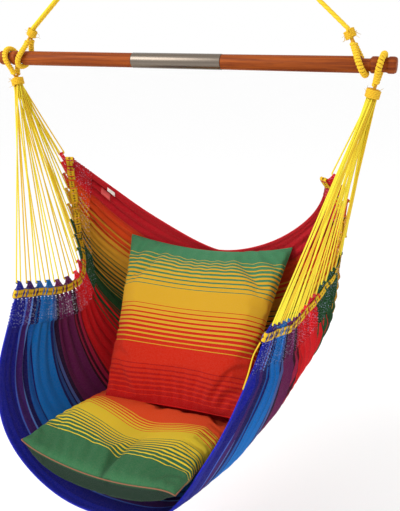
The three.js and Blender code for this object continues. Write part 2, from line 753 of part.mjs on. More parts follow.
// Woven band round one side edge: it runs along the inside, turns round the end and runs back outside
function addEdgeBand(hammock, side) {
  const stations = 2 * tongueCount - 1;
  const stationRun = (i) => tongueRun(Math.floor(i / 2)) + ((i % 2) - 0.5) * tongueWidth;
  const low = -bandWidth / 2 + clearance;
  const high = bandWidth / 2 - clearance;
  const rings = [];
  const addRing = (run, near, far, past) => {
    const { along } = edgeFrame(run, side);
    const corner = (height, offset, beyond) =>
      edgePoint(run, height, offset, side).addScaledVector(along, beyond);
    const beyond = past * (bandEndClearance + bandThickness);
    const nearBeyond = past * bandEndClearance;
    rings.push([corner(low, near, nearBeyond), corner(high, near, nearBeyond)]);
    rings.at(-1).push(corner(high, far, beyond), corner(low, far, beyond));
  };
  const inner = -bandClearance;
  const outer = clothThickness + bandClearance;
  const middle = clothThickness / 2;
  for (let i = 0; i <= stations; i += 1) {
    addRing(stationRun(i), inner, inner - bandThickness, 0);
  }
  addRing(edge.length, middle, middle, 1);
  for (let i = stations; i >= 0; i -= 1) {
    addRing(stationRun(i), outer, outer + bandThickness, 0);
  }
  addRing(0, middle, middle, -1);
  const triangles = [];
  rings.forEach((ring, i) => {
    const next = (i + 1) % rings.length;
    for (let k = 0; k < 4; k += 1) {
      const [a, b] = [4 * i + k, 4 * i + ((k + 1) % 4)];
      const [c, d] = [4 * next + ((k + 1) % 4), 4 * next + k];
      if (i <= stations === k < 2) triangles.push([a, b, c], [a, c, d]);
      else triangles.push([a, b, d], [b, c, d]);
    }
  });
  addPiece(hammock, "edge_band_" + sideNames[side], closedGeometry(rings.flat(), triangles), yellowBand);
}

// Fan of cords

const gatherRadius = cordRadius * (1 + Math.sqrt(2 * tongueCount) * 1.08);

// Places of the cords at the gathered end, spread evenly over its face and sorted from front to rear
function gatherPlaces(side) {
  const goldenTurn = Math.PI * (3 - Math.sqrt(5));
  const count = 2 * tongueCount;
  const places = [];
  for (let i = 0; i < count; i += 1) {
    const radius = (gatherRadius - cordRadius) * Math.sqrt((i + 0.5) / count);
    const turn = i * goldenTurn;
    const depth = gatherStart + gatherLength - cordEmbedLength;
    places.push(new THREE.Vector3(radius * Math.cos(turn), depth, radius * Math.sin(turn)));
  }
  return places.sort((a, b) => side * (a.x - b.x));
}

// One cord from the gathered end, through a tongue's rolled tip and back
function hairpin(index, ends, side) {
  const { centre, across, up, half } = tongueTip(index, side);
  const reach = half + cordTurnRadius + cordRadius / 2;
  const turnShares = [
    [1, 1],
    [0.72, 0.28],
    [0, 0],
  ];
  const leg = (way) =>
    turnShares.map(([sideShare, upShare]) => {
      const sideways = way * (reach - cordTurnRadius * (1 - sideShare));
      return centre.clone().addScaledVector(across, sideways).addScaledVector(up, cordTurnRadius * upShare);
    });
  return tubeThrough([ends[0], ...leg(-1), ...leg(1).reverse(), ends[1]], cordRadius, cordSides);
}

function addClew(root, hammock, side) {
  const loop = clewGroup(side);
  const name = "clew_" + sideNames[side];
  const line = loopLine(clewLoopSeatRadius, clewLoopHalfWidth, clewLoopThroatLength);
  addLoop(loop, name, line, clewLoopTurns, gatherRadius, clewLoopThroatLength);
  hammock.add(loop);
  const gather = new THREE.CylinderGeometry(gatherRadius, gatherRadius, gatherLength, gatherSides);
  gather.translate(0, gatherStart + gatherLength / 2, 0).applyMatrix4(loop.matrixWorld);
  let fan = solidFrom(gather);
  const places = gatherPlaces(side).map((place) => loop.localToWorld(place));
  for (let index = 0; index < tongueCount; index += 1) {
    const ends = [places[2 * index], places[2 * index + 1]];
    fan = fan.add(solidFrom(hairpin(index, ends, side)));
  }
  addPiece(hammock, name + "_cords", geometryFrom(fan), yellowCord);
}

// Cushions

// A crowned cushion about its own middle: width along X, length along Y, and its seam is a raised
// welt. Its sides pull in between the corners, its crown rises and dips in the middle, its belly
// hangs below, its ends bend up, and one edge may be squeezed narrower
function cushion(width, length, crown, belly, bend, dipShare, taperShare) {
  const pullShare = 0.045;
  const cornerAt = (i, j) => {
    const u = (2 * i) / cushionGrid - 1;
    const v = (2 * j) / cushionGrid - 1;
    const swell = Math.sqrt((1 - u ** 4) * (1 - v ** 4));
    const taper = 1 - (taperShare * (1 - v)) / 2;
    const x = (width / 2) * u * taper * (1 - pullShare * (1 - v * v) * u * u);
    const y = (length / 2) * v * (1 - pullShare * (1 - u * u) * v * v);
    const dip = 1 - dipShare * Math.exp(-((u / 0.3) ** 2)) * (1 - v * v * 0.5);
    const lift = bend * u * u;
    const top = lift + pipingHeight / 2 + crown * swell * dip;
    const bottom = lift - pipingHeight / 2 - belly * swell;
    return [new THREE.Vector3(x, y, bottom), new THREE.Vector3(x, y, top)];
  };
  return sheetOver(cushionGrid, cushionGrid, cornerAt);
}

// Points spread over every face of a geometry, its corners included
function facePoints(geometry) {
  const positions = geometry.getAttribute("position");
  const index = geometry.getIndex();
  const spread = 5;
  const points = [];
  for (let face = 0; face < index.count; face += 3) {
    const corner = (k) => new THREE.Vector3().fromBufferAttribute(positions, index.getX(face + k));
    const [a, b, c] = [0, 1, 2].map(corner);
    for (let i = 0; i <= spread; i += 1) {
      for (let j = 0; i + j <= spread; j += 1) {
        const point = a.clone().multiplyScalar((spread - i - j) / spread);
        points.push(point.addScaledVector(b, i / spread).addScaledVector(c, j / spread));
      }
    }
  }
  return points;
}

// How far a piece can travel in a direction before it meets one of the resting pieces
function travelTo(moving, resting, direction) {
  const caster = new THREE.Raycaster();
  let least = settleHeight + barDrop;
  const cast = (from, onto, heading) => {
    for (const point of facePoints(from.geometry)) {
      caster.set(point.applyMatrix4(from.matrixWorld), heading);
      for (const hit of caster.intersectObject(onto, false)) least = Math.min(least, hit.distance);
    }
  };
  for (const piece of [moving, ...resting]) {
    piece.updateWorldMatrix(true, false);
    piece.material.side = THREE.DoubleSide;
  }
  for (const piece of resting) {
    cast(moving, piece, direction);
    cast(piece, moving, direction.clone().negate());
  }
  return least;
}

// Lowers a cushion from above its place until it rests on what carries it
function settle(mesh, resting, direction) {
  mesh.position.addScaledVector(direction, -settleHeight);
  mesh.position.addScaledVector(direction, travelTo(mesh, resting, direction) - seatClearance);
}

function addSeatCushion(root, cloth) {
  const sizes = [seatCushionWidth, seatCushionDepth, seatCushionCrownHeight, seatCushionBellyDepth];
  sizes.push(seatCushionBendHeight);
  const dipShare = 0.35;
  const mesh = addPiece(root, "seat_cushion", cushion(...sizes, dipShare, 0), seatCover);
  mesh.rotation.set(seatCushionTilt, 0, seatCushionYaw);
  mesh.position.set(seatCushionOffsetX, seatCushionOffsetY, seatCushionOffsetZ - barDrop);
  settle(mesh, [cloth], new THREE.Vector3(0, 0, -1));
  return mesh;
}

function addBackCushion(root, cloth, seatCushion) {
  const sizes = [backCushionWidth, backCushionHeight, backCushionCrownHeight, backCushionBellyDepth];
  sizes.push(backCushionBendHeight);
  const taperShare = 0.22;
  const mesh = addPiece(root, "back_cushion", cushion(...sizes, 0, taperShare), backCover);
  mesh.rotation.set(backCushionLean, 0, backCushionRoll);
  mesh.position.set(backCushionOffsetX, backCushionOffsetY, backCushionOffsetZ - barDrop);
  settle(mesh, [cloth, seatCushion], new THREE.Vector3(0, 0.8, -0.6));
  return mesh;
}

const chair = new THREE.Group();
const spreaderBar = new THREE.Group();
const hammock = new THREE.Group();
spreaderBar.position.z = -barDrop;
chair.add(spreaderBar, hammock);
addSuspension(chair);
addBarHalf(spreaderBar, -1);
addBarHalf(spreaderBar, 1);
addSleeve(spreaderBar);
const cloth = addCloth(hammock);
for (const side of [-1, 1]) {
  addEdgeNet(hammock, side);
  addEdgeBand(hammock, side);
  addClew(chair, hammock, side);
}
const seatCushion = addSeatCushion(hammock, cloth);
addBackCushion(hammock, cloth, seatCushion);

export default chair;
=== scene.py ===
import math

import bmesh
import bpy
import mathutils
import numpy as np
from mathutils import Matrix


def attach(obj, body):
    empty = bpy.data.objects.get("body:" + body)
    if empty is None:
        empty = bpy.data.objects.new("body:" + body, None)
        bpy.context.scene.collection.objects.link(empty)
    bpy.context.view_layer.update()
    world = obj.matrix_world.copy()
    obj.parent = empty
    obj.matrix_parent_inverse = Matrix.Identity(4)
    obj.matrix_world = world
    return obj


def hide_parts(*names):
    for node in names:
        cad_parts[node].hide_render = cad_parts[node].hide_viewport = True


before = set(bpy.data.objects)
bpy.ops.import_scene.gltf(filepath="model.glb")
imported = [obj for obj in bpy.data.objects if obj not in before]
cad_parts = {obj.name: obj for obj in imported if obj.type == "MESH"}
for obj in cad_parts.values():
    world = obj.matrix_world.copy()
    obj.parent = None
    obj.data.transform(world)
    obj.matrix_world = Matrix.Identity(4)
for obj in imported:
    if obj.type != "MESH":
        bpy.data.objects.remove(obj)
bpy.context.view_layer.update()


# Camera
# It stands a little above the bar, in front of the chair's right-hand side, and looks down into
# the seat. The two ropes leave the top of the picture.
camera = bpy.data.objects.new("camera", bpy.data.cameras.new("camera"))
bpy.context.scene.collection.objects.link(camera)
camera.data.sensor_fit = "VERTICAL"
camera.data.sensor_height = 36.0
camera.data.lens = 45.93
camera.location = (0.647, -1.454, -0.415)
looks_down, turned_round = 19.2, 22
camera.rotation_euler = (math.radians(90 - looks_down), 0, math.radians(turned_round))
bpy.context.scene.camera = camera


# Hanging ropes
# Four strands of laid yellow cotton rope, two in each leg, run straight from the binding under the
# hanging eye to the bindings of the two loops under the bar.
both_sides = ((-1, "left"), (1, "right"))
eye_height, bar_height = -0.0152, -0.487
rope_radius, rope_lay, strand_half = 0.00425, 0.042, 0.0046
# Of a loop: the place of its groove along the bar, the distance from the bar's axis to the loop's
# seat, its lean inwards, and 1 where it goes up or -1 where it goes down
rope_loop = (0.437, 0.0226, 0.43, 1)


def loop_axis(side, groove, seat, lean, way):
    """Centre of a loop round the bar, and the direction from there to its throat, which leans
    inwards. The lean takes the centre inwards too, by its share of the seat's distance."""
    towards = np.array([-side * lean, 0, way * math.sqrt(1 - lean**2)])
    return np.array([side * (groove - lean * seat), 0, bar_height]), towards


def linear(red, green, blue):
    """A colour written as it looks, 0 to 255, turned into the light that it sends back, by the
    sRGB curve."""
    share = np.array([red, green, blue]) / 255
    light = np.where(share <= 0.04045, share / 12.92, ((share + 0.055) / 1.055) ** 2.4)
    return (*light.tolist(), 1.0)


def unit(vectors):
    """Each vector divided by its own length."""
    return vectors / np.linalg.norm(vectors, axis=-1, keepdims=True)


def measured(path):
    """Distance run along a path at each of its points, from 0."""
    steps = np.linalg.norm(np.diff(path, axis=0), axis=1)
    return np.concatenate([[0], np.cumsum(steps)])


def resampled(path, count):
    """The same path with evenly spaced points."""
    run = measured(path)
    even = np.linspace(0, run[-1], count)
    return np.stack([np.interp(even, run, path[:, axis]) for axis in range(3)], axis=-1)


def smooth_path(knots, count):
    """A curve through the knots: between two of them it is a cubic whose slopes come from their
    neighbours, (next - previous) / 2. It is then resampled evenly."""
    knots = np.asarray(knots, dtype=float)
    ends = np.concatenate([[2 * knots[0] - knots[1]], knots, [2 * knots[-1] - knots[-2]]])
    at = np.linspace(0, len(knots) - 1, 20 * len(knots))
    i = np.clip(at.astype(int), 0, len(knots) - 2)
    t = (at - i)[:, None]
    p, q, r, s = ends[i], ends[i + 1], ends[i + 2], ends[i + 3]
    cubic = q + t * (r - p) / 2 + t**2 * (p - 2.5 * q + 2 * r - s / 2)
    cubic = cubic + t**3 * (1.5 * (q - r) + (s - p) / 2)
    return resampled(cubic, count)


def tube(path, radius, sides, sideways):
    """Rings round a path: point = path + radius * (cos a * N + sin a * B), with a from 0 to a full
    turn, N the sideways direction made square to the path, and B square to both. The radius is one
    number, or one for each ring, or one for each point."""
    along = unit(np.gradient(path, axis=0))
    across = sideways - np.sum(sideways * along, axis=-1, keepdims=True) * along
    across = unit(across)
    over = np.cross(along, across)
    turn = 2 * np.pi * np.arange(sides) / sides
    cosine, sine = np.cos(turn)[None, :, None], np.sin(turn)[None, :, None]
    ring = across[:, None] * cosine + over[:, None] * sine
    radius = np.asarray(radius, dtype=float)
    radius = radius.reshape(-1, 1) if radius.ndim == 1 else radius
    radius = np.broadcast_to(radius, (len(path), sides))
    return path[:, None] + radius[..., None] * ring


def tube_marks(path, sides):
    """Surface coordinates of a tube: once round it is 0 to 1, and along it is the run in metres."""
    around = np.broadcast_to(np.linspace(0, 1, sides + 1), (len(path), sides + 1))
    run = np.broadcast_to(measured(path)[:, None], around.shape)
    return np.stack([around, run], axis=-1)


def mesh_piece(name, parts, material, smooth=True):
    """One object from grids of points. Each part is (points, marks, around, and a number): quads
    join neighbouring points, around closes the grid sideways and caps its two ends, marks are the
    surface coordinates and the last is one number kept at every point: how deep a cord's colour is,
    or painted shade in the folds of the cloth and on the cushions."""
    vertices, faces, marks_of_loops, tones_and_shades = [], [], [], []
    start = 0
    for points, marks, around, tone_and_shade in parts:
        rows, columns = points.shape[:2]
        index = start + np.arange(rows * columns).reshape(rows, columns)
        left = index if around else index[:, :-1]
        right = np.roll(index, -1, axis=1) if around else index[:, 1:]
        quads = np.stack([left[:-1], right[:-1], right[1:], left[1:]], axis=-1).reshape(-1, 4)
        corner = [marks[:-1, :-1], marks[:-1, 1:], marks[1:, 1:], marks[1:, :-1]]
        marks_of_loops.append(np.stack(corner, axis=2).reshape(-1, 2))
        faces.extend(quads.tolist())
        if around:
            faces.extend([index[0][::-1].tolist(), index[-1].tolist()])
            caps = [marks[0, :columns][::-1], marks[-1, :columns]]
            marks_of_loops.append(np.concatenate(caps))
        vertices.append(points.reshape(-1, 3))
        tones_and_shades.append(np.broadcast_to(np.asarray(tone_and_shade, dtype=float), (rows, columns)).reshape(-1))
        start += rows * columns
    mesh = bpy.data.meshes.new(name)
    mesh.from_pydata(np.concatenate(vertices).tolist(), [], faces)
    layer = mesh.uv_layers.new(name="surface")
    layer.data.foreach_set("uv", np.concatenate(marks_of_loops).reshape(-1))
    kept = mesh.attributes.new("tone_and_shade", "FLOAT", "POINT")
    kept.data.foreach_set("value", np.concatenate(tones_and_shades))
    mesh.polygons.foreach_set("use_smooth", np.full(len(mesh.polygons), smooth))
    mesh.materials.append(material)
    piece = bpy.data.objects.new(name, mesh)
    bpy.context.scene.collection.objects.link(piece)
    return piece


def node(material, kind, inputs=(), **settings):
    """Adds a shader node. An input is a value, or a socket or a number of nodes that feeds it."""
    made = material.node_tree.nodes.new("ShaderNode" + kind)
    for key, value in settings.items():
        setattr(made, key, value)
    for key, value in dict(inputs).items():
        if isinstance(value, Number):
            value = value.socket
        if isinstance(value, bpy.types.NodeSocket):
            material.node_tree.links.new(value, made.inputs[key])
        else:
            made.inputs[key].default_value = value
    return made


class Number:
    """A number that a material's nodes work out at each point. Sums on it are written as usual, and
    every step of them adds a node."""

    def __init__(self, material, socket):
        self.material, self.socket = material, socket

    def step(self, operation, *others):
        """This number and the others, taken through one more node."""
        made = node(self.material, "Math", dict(enumerate((self, *others))), operation=operation)
        return Number(self.material, made.outputs[0])

    def __add__(self, other):
        return self.step("ADD", other)

    def __sub__(self, other):
        return self.step("SUBTRACT", other)

    def __mul__(self, other):
        return self.step("MULTIPLY", other)

    def __gt__(self, other):
        return self.step("GREATER_THAN", other)

    def __lt__(self, other):
        return self.step("LESS_THAN", other)

    def __abs__(self):
        return self.step("ABSOLUTE")

    def sine(self):
        """Its sine, in radians."""
        return self.step("SINE")


def blended(material, share, first, second):
    """Mixes two colours, or sockets with colours, by a share from 0 to 1."""
    mix = node(material, "Mix", {0: share, 6: first, 7: second}, data_type="RGBA")
    return mix.outputs[2]


def new_finish(name, colour, roughness, metallic=0.0):
    """A material with a plain colour to start from."""
    material = bpy.data.materials.new(name)
    material.use_nodes = True
    shader = material.node_tree.nodes["Principled BSDF"]
    shader.inputs["Base Color"].default_value = colour
    shader.inputs["Roughness"].default_value = roughness
    shader.inputs["Metallic"].default_value = metallic
    return material, shader


def surface_place(material):
    """The two surface coordinates of a piece."""
    marks = node(material, "SeparateXYZ", {0: node(material, "UVMap", uv_map="surface").outputs[0]})
    return Number(material, marks.outputs[0]), Number(material, marks.outputs[1])


def tone_and_shade_of(material):
    """The number that mesh_piece keeps at every point: how deep a cord's colour is, or painted
    shade.
    """
    return Number(material, node(material, "Attribute", attribute_name="tone_and_shade").outputs["Fac"])


def noise(material, scale, detail, stretch=(1.0, 1.0, 1.0), distortion=0.0):
    """Noise, 0 to 1, at a piece's own place times the stretch."""
    own_place = node(material, "TexCoord").outputs["Object"]
    place = node(material, "Mapping", {"Vector": own_place, "Scale": stretch}).outputs[0]
    settings = {"Scale": scale, "Detail": detail, "Distortion": distortion}
    return Number(material, node(material, "TexNoise", {"Vector": place, **settings}).outputs[0])


def raise_surface(material, shader, height, distance, strength=1.0):
    """Lets a height, 0 to 1, stand as relief of a given depth in metres."""
    bump = node(material, "Bump", {"Height": height, "Distance": distance, "Strength": strength})
    material.node_tree.links.new(bump.outputs[0], shader.inputs["Normal"])


def cord_finish(name, pale, deep, strands, lay):
    """Twisted cotton: the plies wind round, so their height is |sin| of pi times their number times
    the share of a turn round plus the run over the lay. The hollows between them get painted shade,
    a blend towards the deep colour."""
    material, shader = new_finish(name, pale, 0.82)
    around, run = surface_place(material)
    ply = abs(((run * (strands / lay) + around * strands) * math.pi).sine())
    fibre = noise(material, 900.0, 3.0)
    # Painted shade: the hollows between the plies are blended towards the deep colour
    painted_hollow_shade, fuzz = ply * -0.40 + 0.40, fibre * 0.12
    colour = blended(material, tone_and_shade_of(material), pale, deep)
    colour = blended(material, painted_hollow_shade, colour, deep)
    colour = blended(material, fuzz, colour, linear(255, 240, 150))
    material.node_tree.links.new(colour, shader.inputs["Base Color"])
    shader.inputs["Sheen Weight"].default_value = 0.04
    shader.inputs["Specular IOR Level"].default_value = 0.15
    raise_surface(material, shader, fibre * 0.25 + ply, 0.0006)
    return material


rope_finish = cord_finish("rope cotton", linear(248, 214, 30), linear(196, 124, 8), 3, rope_lay)


def laid_rope(path, radius, plies, lay, sides, sideways):
    """A rope whose plies stand out: its radius is 0.84 + 0.16 |cos|^0.6 of the whole, for half the
    plies' angle, which turns once round in each lay."""
    run = measured(path)[:, None]
    turn = 2 * np.pi * np.arange(sides)[None, :] / sides
    ply = np.abs(np.cos(plies / 2 * (turn + 2 * np.pi * run / lay)))
    return tube(path, radius * (0.84 + 0.16 * ply**0.6), sides, sideways)


# How far from the eye's centre the strands end and how far they run straight from there, then the
# same two for a loop
eye_throat, eye_straight, loop_throat, loop_straight = 0.0363, 0.0225, 0.0583, 0.0222
rope_sides = 24
for side, side_name in both_sides:
    centre, towards = loop_axis(side, *rope_loop)
    for depth, depth_name in ((-1, "front"), (1, "rear")):
        top = np.array([side * strand_half, depth * strand_half, eye_height - eye_throat])
        bend = top - np.array([0, 0, eye_straight])
        loop_end = centre + towards * loop_throat + np.array([0, depth * strand_half, 0])
        loop_bend = loop_end + towards * loop_straight
        leg = smooth_path([bend, (bend + loop_bend) / 2, loop_bend], 240)
        path = resampled(np.concatenate([[top], leg, [loop_end]]), 300)
        points = laid_rope(path, rope_radius, 3, rope_lay, rope_sides, np.array([0.0, 1.0, 0.0]))
        name = f"hanging_rope_{side_name}_{depth_name}"
        rope = mesh_piece(name, [(points, tube_marks(path, rope_sides), True, 0.15)], rope_finish)
        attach(rope, "suspension")
        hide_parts(f"rope_{side_name}_{depth_name}")


# Side edges of the cloth, from which the fans of cords hang
# The seat is one cloth that sags between two side edges. Every row of it, from the front hem to the
# top hem, is a superellipse from one edge through the middle to the other.
half_width, reach, drop, sway, skew = 0.394, 0.340, 1.055, 0.088, 0.13
# Each row's end across, back and down, its middle back and down, its fullness and its ease, and the
# number of steps from a row's middle to its end
row_shares = np.array(
    [
        [0.794, -0.794, 0.506, -1.0, 0.995, 2.6, 1.0],
        [0.802, -0.459, 0.542, -0.588, 1.0, 2.8, 1.0],
        [0.812, -0.203, 0.569, -0.088, 0.998, 2.7, 1.0],
        [0.817, 0.07, 0.573, 0.265, 0.948, 2.4, 1.0],
        [0.9, 0.294, 0.531, 0.559, 0.834, 2.2, 1.0],
        [0.972, 0.385, 0.477, 0.691, 0.739, 2.2, 0.9],
        [0.985, 0.366, 0.341, 0.794, 0.626, 1.8, 0.85],
        [0.89, 0.176, 0.252, 0.853, 0.529, 1.5, 0.7],
    ]
)
half_steps = 96
band_width, net_width, edge_hem = 0.021, 0.070, 0.007
edge_depth = band_width / 2 + net_width + edge_hem
# Depth at which the cloth's direction is taken for its edge, inside the net
edge_normal_depth = band_width / 2 + net_width * 0.736
tongue_count, tongue_width, tongue_tip, tongue_rise = 16, 0.034, 0.018, 0.014
cord_radius, cord_turn, cloth_thickness, gap = 0.0018, 0.0032, 0.0024, 0.0003


def row_values(v):
    """The seven shares of each row v, 0 to 1, on the cubic through the listed rows."""
    last = len(row_shares) - 1
    at = np.clip(v, 0, 1) * last
    i = np.minimum(at.astype(int), last - 1)
    t = (at - i)[:, None]
    p, q = row_shares[np.maximum(i - 1, 0)], row_shares[i]
    r, s = row_shares[i + 1], row_shares[np.minimum(i + 2, last)]
    level = (2 * t**3 - 3 * t**2 + 1) * q + (3 * t**2 - 2 * t**3) * r
    return level + (t**3 - 2 * t**2 + t) * (r - p) / 2 + (t**3 - t**2) * (s - q) / 2


def half_rows(v, side):
    """Each row from its middle to one end, before its swing: x = end * sin^(2/n), and sag =
    cos^(2/n) takes the row back and down from its end to its middle. Also the run to each point."""
    values = row_values(v)
    turn = np.linspace(0, np.pi / 2, half_steps + 1)[None, :]
    power = 2 / (values[:, 5:6] * (1 + side * skew * v[:, None] ** 3))
    sag = np.clip(np.cos(turn), 0, 1) ** power
    x = half_width * values[:, 0:1] * np.sin(turn) ** power
    y = reach * (values[:, 1:2] + (values[:, 3:4] - values[:, 1:2]) * sag ** values[:, 6:7])
    z = -drop * (values[:, 2:3] + (values[:, 4:5] - values[:, 2:3]) * sag)
    points = np.stack([x, y, z], axis=-1)
    steps = np.linalg.norm(np.diff(points, axis=1), axis=-1)
    run = np.concatenate([np.zeros((len(v), 1)), np.cumsum(steps, axis=1)], axis=1)
    return points, run


def row_length(v, side):
    """Length of half of each row."""
    return half_rows(v, side)[1][:, -1]


def cloth_points(v, run, side):
    """Points of the cloth on rows v (n), at distances run (n, m) from the middle. The lower half of
    the cloth swings sideways by sway * (1 - 2.6 v) * sin(0.8 pi h^1.3), with h from 0 halfway down
    to 1 at the bottom: most in the front rows, and back a little in the rear ones."""
    points, runs = half_rows(v, side)
    k = np.clip((runs[:, None, :] <= run[:, :, None]).sum(axis=-1) - 1, 0, half_steps - 1)
    rows = np.arange(len(v))[:, None]
    share = ((run - runs[rows, k]) / (runs[rows, k + 1] - runs[rows, k]))[..., None]
    place = points[rows, k] * (1 - share) + points[rows, k + 1] * share
    hang = np.clip((-place[..., 2] / drop - 0.5) / 0.5, 0, 1)
    forward = np.maximum(1 - 2.6 * v, -0.45)[:, None]
    swing = forward * np.sin(0.8 * np.pi * hang**1.3)
    x, z = side * place[..., 0] - sway * swing, place[..., 2] + bar_height
    return np.stack([x, place[..., 1], z], axis=-1)


def cloth_normals(v, run, side):
    """Directions square to the cloth, away from the seat: one step along a row crossed with one
    step from row to row."""
    step = 0.01
    length = row_length(v, side)[:, None]
    after, before = np.minimum(v + step, 1), np.maximum(v - step, 0)
    down = cloth_points(after, run, side) - cloth_points(before, run, side)
    outer = cloth_points(v, np.minimum(run + step * length, length), side)
    inner = cloth_points(v, np.maximum(run - step * length, 0), side)
    return side * unit(np.cross(down, outer - inner))


edge_rows = np.linspace(0, 1, 201)
edge_values = row_values(edge_rows)
edge_line = edge_values[:, :3] * np.array([half_width, reach, -drop])
edge_run = measured(edge_line)
edge_length = edge_run[-1]


def edge_frame(run, side):
    """Places on a side edge at distances run, with the directions along the edge, square to the
    cloth, and square to both, and those up to the clew's throat and square to it."""
    v = np.interp(run, edge_run, edge_rows)
    at_end = lambda rows: cloth_points(rows, row_length(rows, side)[:, None], side)[:, 0]
    origin = at_end(v)
    along = unit(at_end(np.minimum(v + 0.01, 1)) - at_end(np.maximum(v - 0.01, 0)))
    normal = 0
    for near in (v - 0.05, v, v + 0.05):
        rows = np.clip(near, 0, 1)
        depth = row_length(rows, side)[:, None] - edge_normal_depth
        normal = normal + cloth_normals(rows, depth, side)[:, 0]
    normal = unit(normal - np.sum(normal * along, axis=1, keepdims=True) * along)
    square = side * np.cross(normal, along)
    up = unit(clew_throat(side, clew_throat_end) - origin)
    out = unit(normal - np.sum(normal * up, axis=1, keepdims=True) * up)
    frame_there = {"along": along, "normal": normal, "square": square, "up": up, "out": out}
    return {"v": v, "origin": origin, "across": side * np.cross(up, out), **frame_there}


# The loop of a fan on the bar, as for rope_loop, and the place in its throat that the tongues
# point at
clew_loop = (0.472, 0.0227, 0.2, -1)
clew_throat_end = 0.0703


def clew_throat(side, depth):
    """Point on the axis of a clew loop, at a distance towards its throat."""
    centre, towards = loop_axis(side, *clew_loop)
    return centre + towards * depth


from_first = (edge_length - tongue_width) * np.arange(tongue_count) / (tongue_count - 1)
tongue_runs = tongue_width / 2 + from_first
# The bundles of a tip are drawn in to this share of its width in the solids. The bore there has
# flat sides, whose middles lie nearer than its corners by the cosine of half their angle
rolled_share, bore_half_angle = 0.75, math.radians(25)


def tongue_tips(side):
    """Middle of each tongue's rolled tip, its half width there, and the frame it stands in."""
    at = edge_frame(tongue_runs, side)
    slant = np.abs(np.sum(at["along"] * at["up"], axis=1))
    half = tongue_tip / 2 * np.sqrt(1 - slant**2) * rolled_share
    rise = (tongue_rise + tongue_width / 2 * slant)[:, None]
    bore = (cord_radius + gap) / math.cos(bore_half_angle)
    foot = at["origin"] + at["square"] * band_width / 2 + at["up"] * rise
    return {**at, "half": half, "centre": foot + at["out"] * (cloth_thickness + bore)}


# Fans of cords
# Each fan is sixteen cotton cords. A cord comes down from the clew's throat, goes through the
# rolled tip of one tongue of the cloth, and goes back up, so every tongue hangs on two lines.
fan_finish = cord_finish("fan cotton", linear(248, 236, 56), linear(222, 170, 16), 2, 0.011)
# Radius of the gathered cords: that of one cord times the root of their number, with 8% to spare
gather_radius = cord_radius * (1 + math.sqrt(2 * tongue_count) * 1.08)
cords_start, cord_bow, cord_sides = 0.0678, 0.0025, 8


def gathered_places(side):
    """Places of the cord ends in the throat: a sunflower spiral, radius growing with the root of
    the count and each a golden turn on from the last, sorted from front to rear."""
    count = 2 * tongue_count
    i = np.arange(count)
    radius = (gather_radius - cord_radius) * np.sqrt((i + 0.5) / count)
    turn = i * math.pi * (3 - math.sqrt(5))
    towards = unit(clew_throat(side, 1.0) - clew_throat(side, 0.0))
    across = np.array([0.0, side, 0.0])
    third = np.cross(across, towards)
    places = clew_throat(side, cords_start) + radius[:, None] * (
        np.cos(turn)[:, None] * across + np.sin(turn)[:, None] * third
    )
    return places[np.argsort(places[:, 1], kind="stable")]


for side, side_name in both_sides:
    tips = tongue_tips(side)
    places = gathered_places(side)
    chance = np.random.default_rng(7 + side)
    for index in range(tongue_count):
        centre, across, up, half = (tips[key][index] for key in ("centre", "across", "up", "half"))
        aside = half + cord_turn + cord_radius / 2
        corner = np.linspace(0, np.pi / 2, 7)[:, None]
        # The legs come down beside the tongue and bow out a little where they are slack
        low = {way: centre + across * way * aside + up * cord_turn for way in (-1, 1)}
        legs = {}
        for way, place in ((-1, places[2 * index]), (1, places[2 * index + 1])):
            share = np.linspace(0, 1, 26)[:, None]
            bow = np.sin(np.pi * share) * chance.uniform(-cord_bow, cord_bow, size=3)
            legs[way] = place * (1 - share) + low[way] * share + bow
        sideways = across * (aside - cord_turn + cord_turn * np.cos(corner))
        turn_out = centre - sideways + up * cord_turn * (1 - np.sin(corner))
        turn_back = centre + sideways + up * cord_turn * (1 - np.sin(corner))
        path = np.concatenate([legs[-1][:-1], turn_out, turn_back[::-1], legs[1][::-1][1:]])
        cord_tone = 0.85 * chance.uniform(0.0, 1.0) ** 2
        name = f"fan_cord_{side_name}_{index + 1:02d}"
        points = tube(path, cord_radius, cord_sides, tips["out"][index])
        marks = tube_marks(path, cord_sides)
        cord = mesh_piece(name, [(points, marks, True, cord_tone)], fan_finish)
        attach(cord, "hammock")
        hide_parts(f"clew_{side_name}_cords")


# Whipped loops
# The eye at the top and the four loops round the bar are ropes served with thick yellow cord. Each
# turn of the serving is hitched, so a ridge of small knots runs along the loop, and a short binding
# closes each throat.
serving_finish = cord_finish("serving cotton", linear(246, 206, 28), linear(196, 122, 6), 2, 0.012)
core_radius, serving_radius, serving_pitch = 0.0032, 0.0019, 0.0066
# Half the size of a served turn along the loop, and of a bound one square to the throat
served_half, bound_half = 0.0034, 0.0018
# Where the knots sit round the loop and round the binding, in radians
served_knot, bound_knot = 0.9, 2.4
# Half the distance between the two cords of a loop in its throat and at their ends, and how far
# past the throat their last stretch starts and ends
throat_half, stub_half, stub_start, stub_end = 0.0084, 0.0044, 0.0065, 0.010


def loop_line(seat, half, throat_length):
    """Centre line of a loop in its own plane, as in the solids: round the seat, down both sides
    with a cosine ease, and out along two stubs."""
    turn = np.pi / 2 * np.arange(1, 4) / 3
    share = np.arange(1, 5) / 4
    ease = (1 + np.cos(np.pi * share)) / 2
    arc = np.stack([half * np.sin(turn), -seat * np.cos(turn)], axis=1)
    sides = np.stack([throat_half + (half - throat_half) * ease, throat_length * share], axis=1)
    stubs = np.array([[stub_half, throat_length + way] for way in (stub_start, stub_end)])
    right = np.concatenate([arc, sides, stubs])
    left = right[::-1] * np.array([-1, 1])
    flat = np.concatenate([left, [[0, -seat]], right])
    return np.concatenate([flat, np.zeros((len(flat), 1))], axis=1)


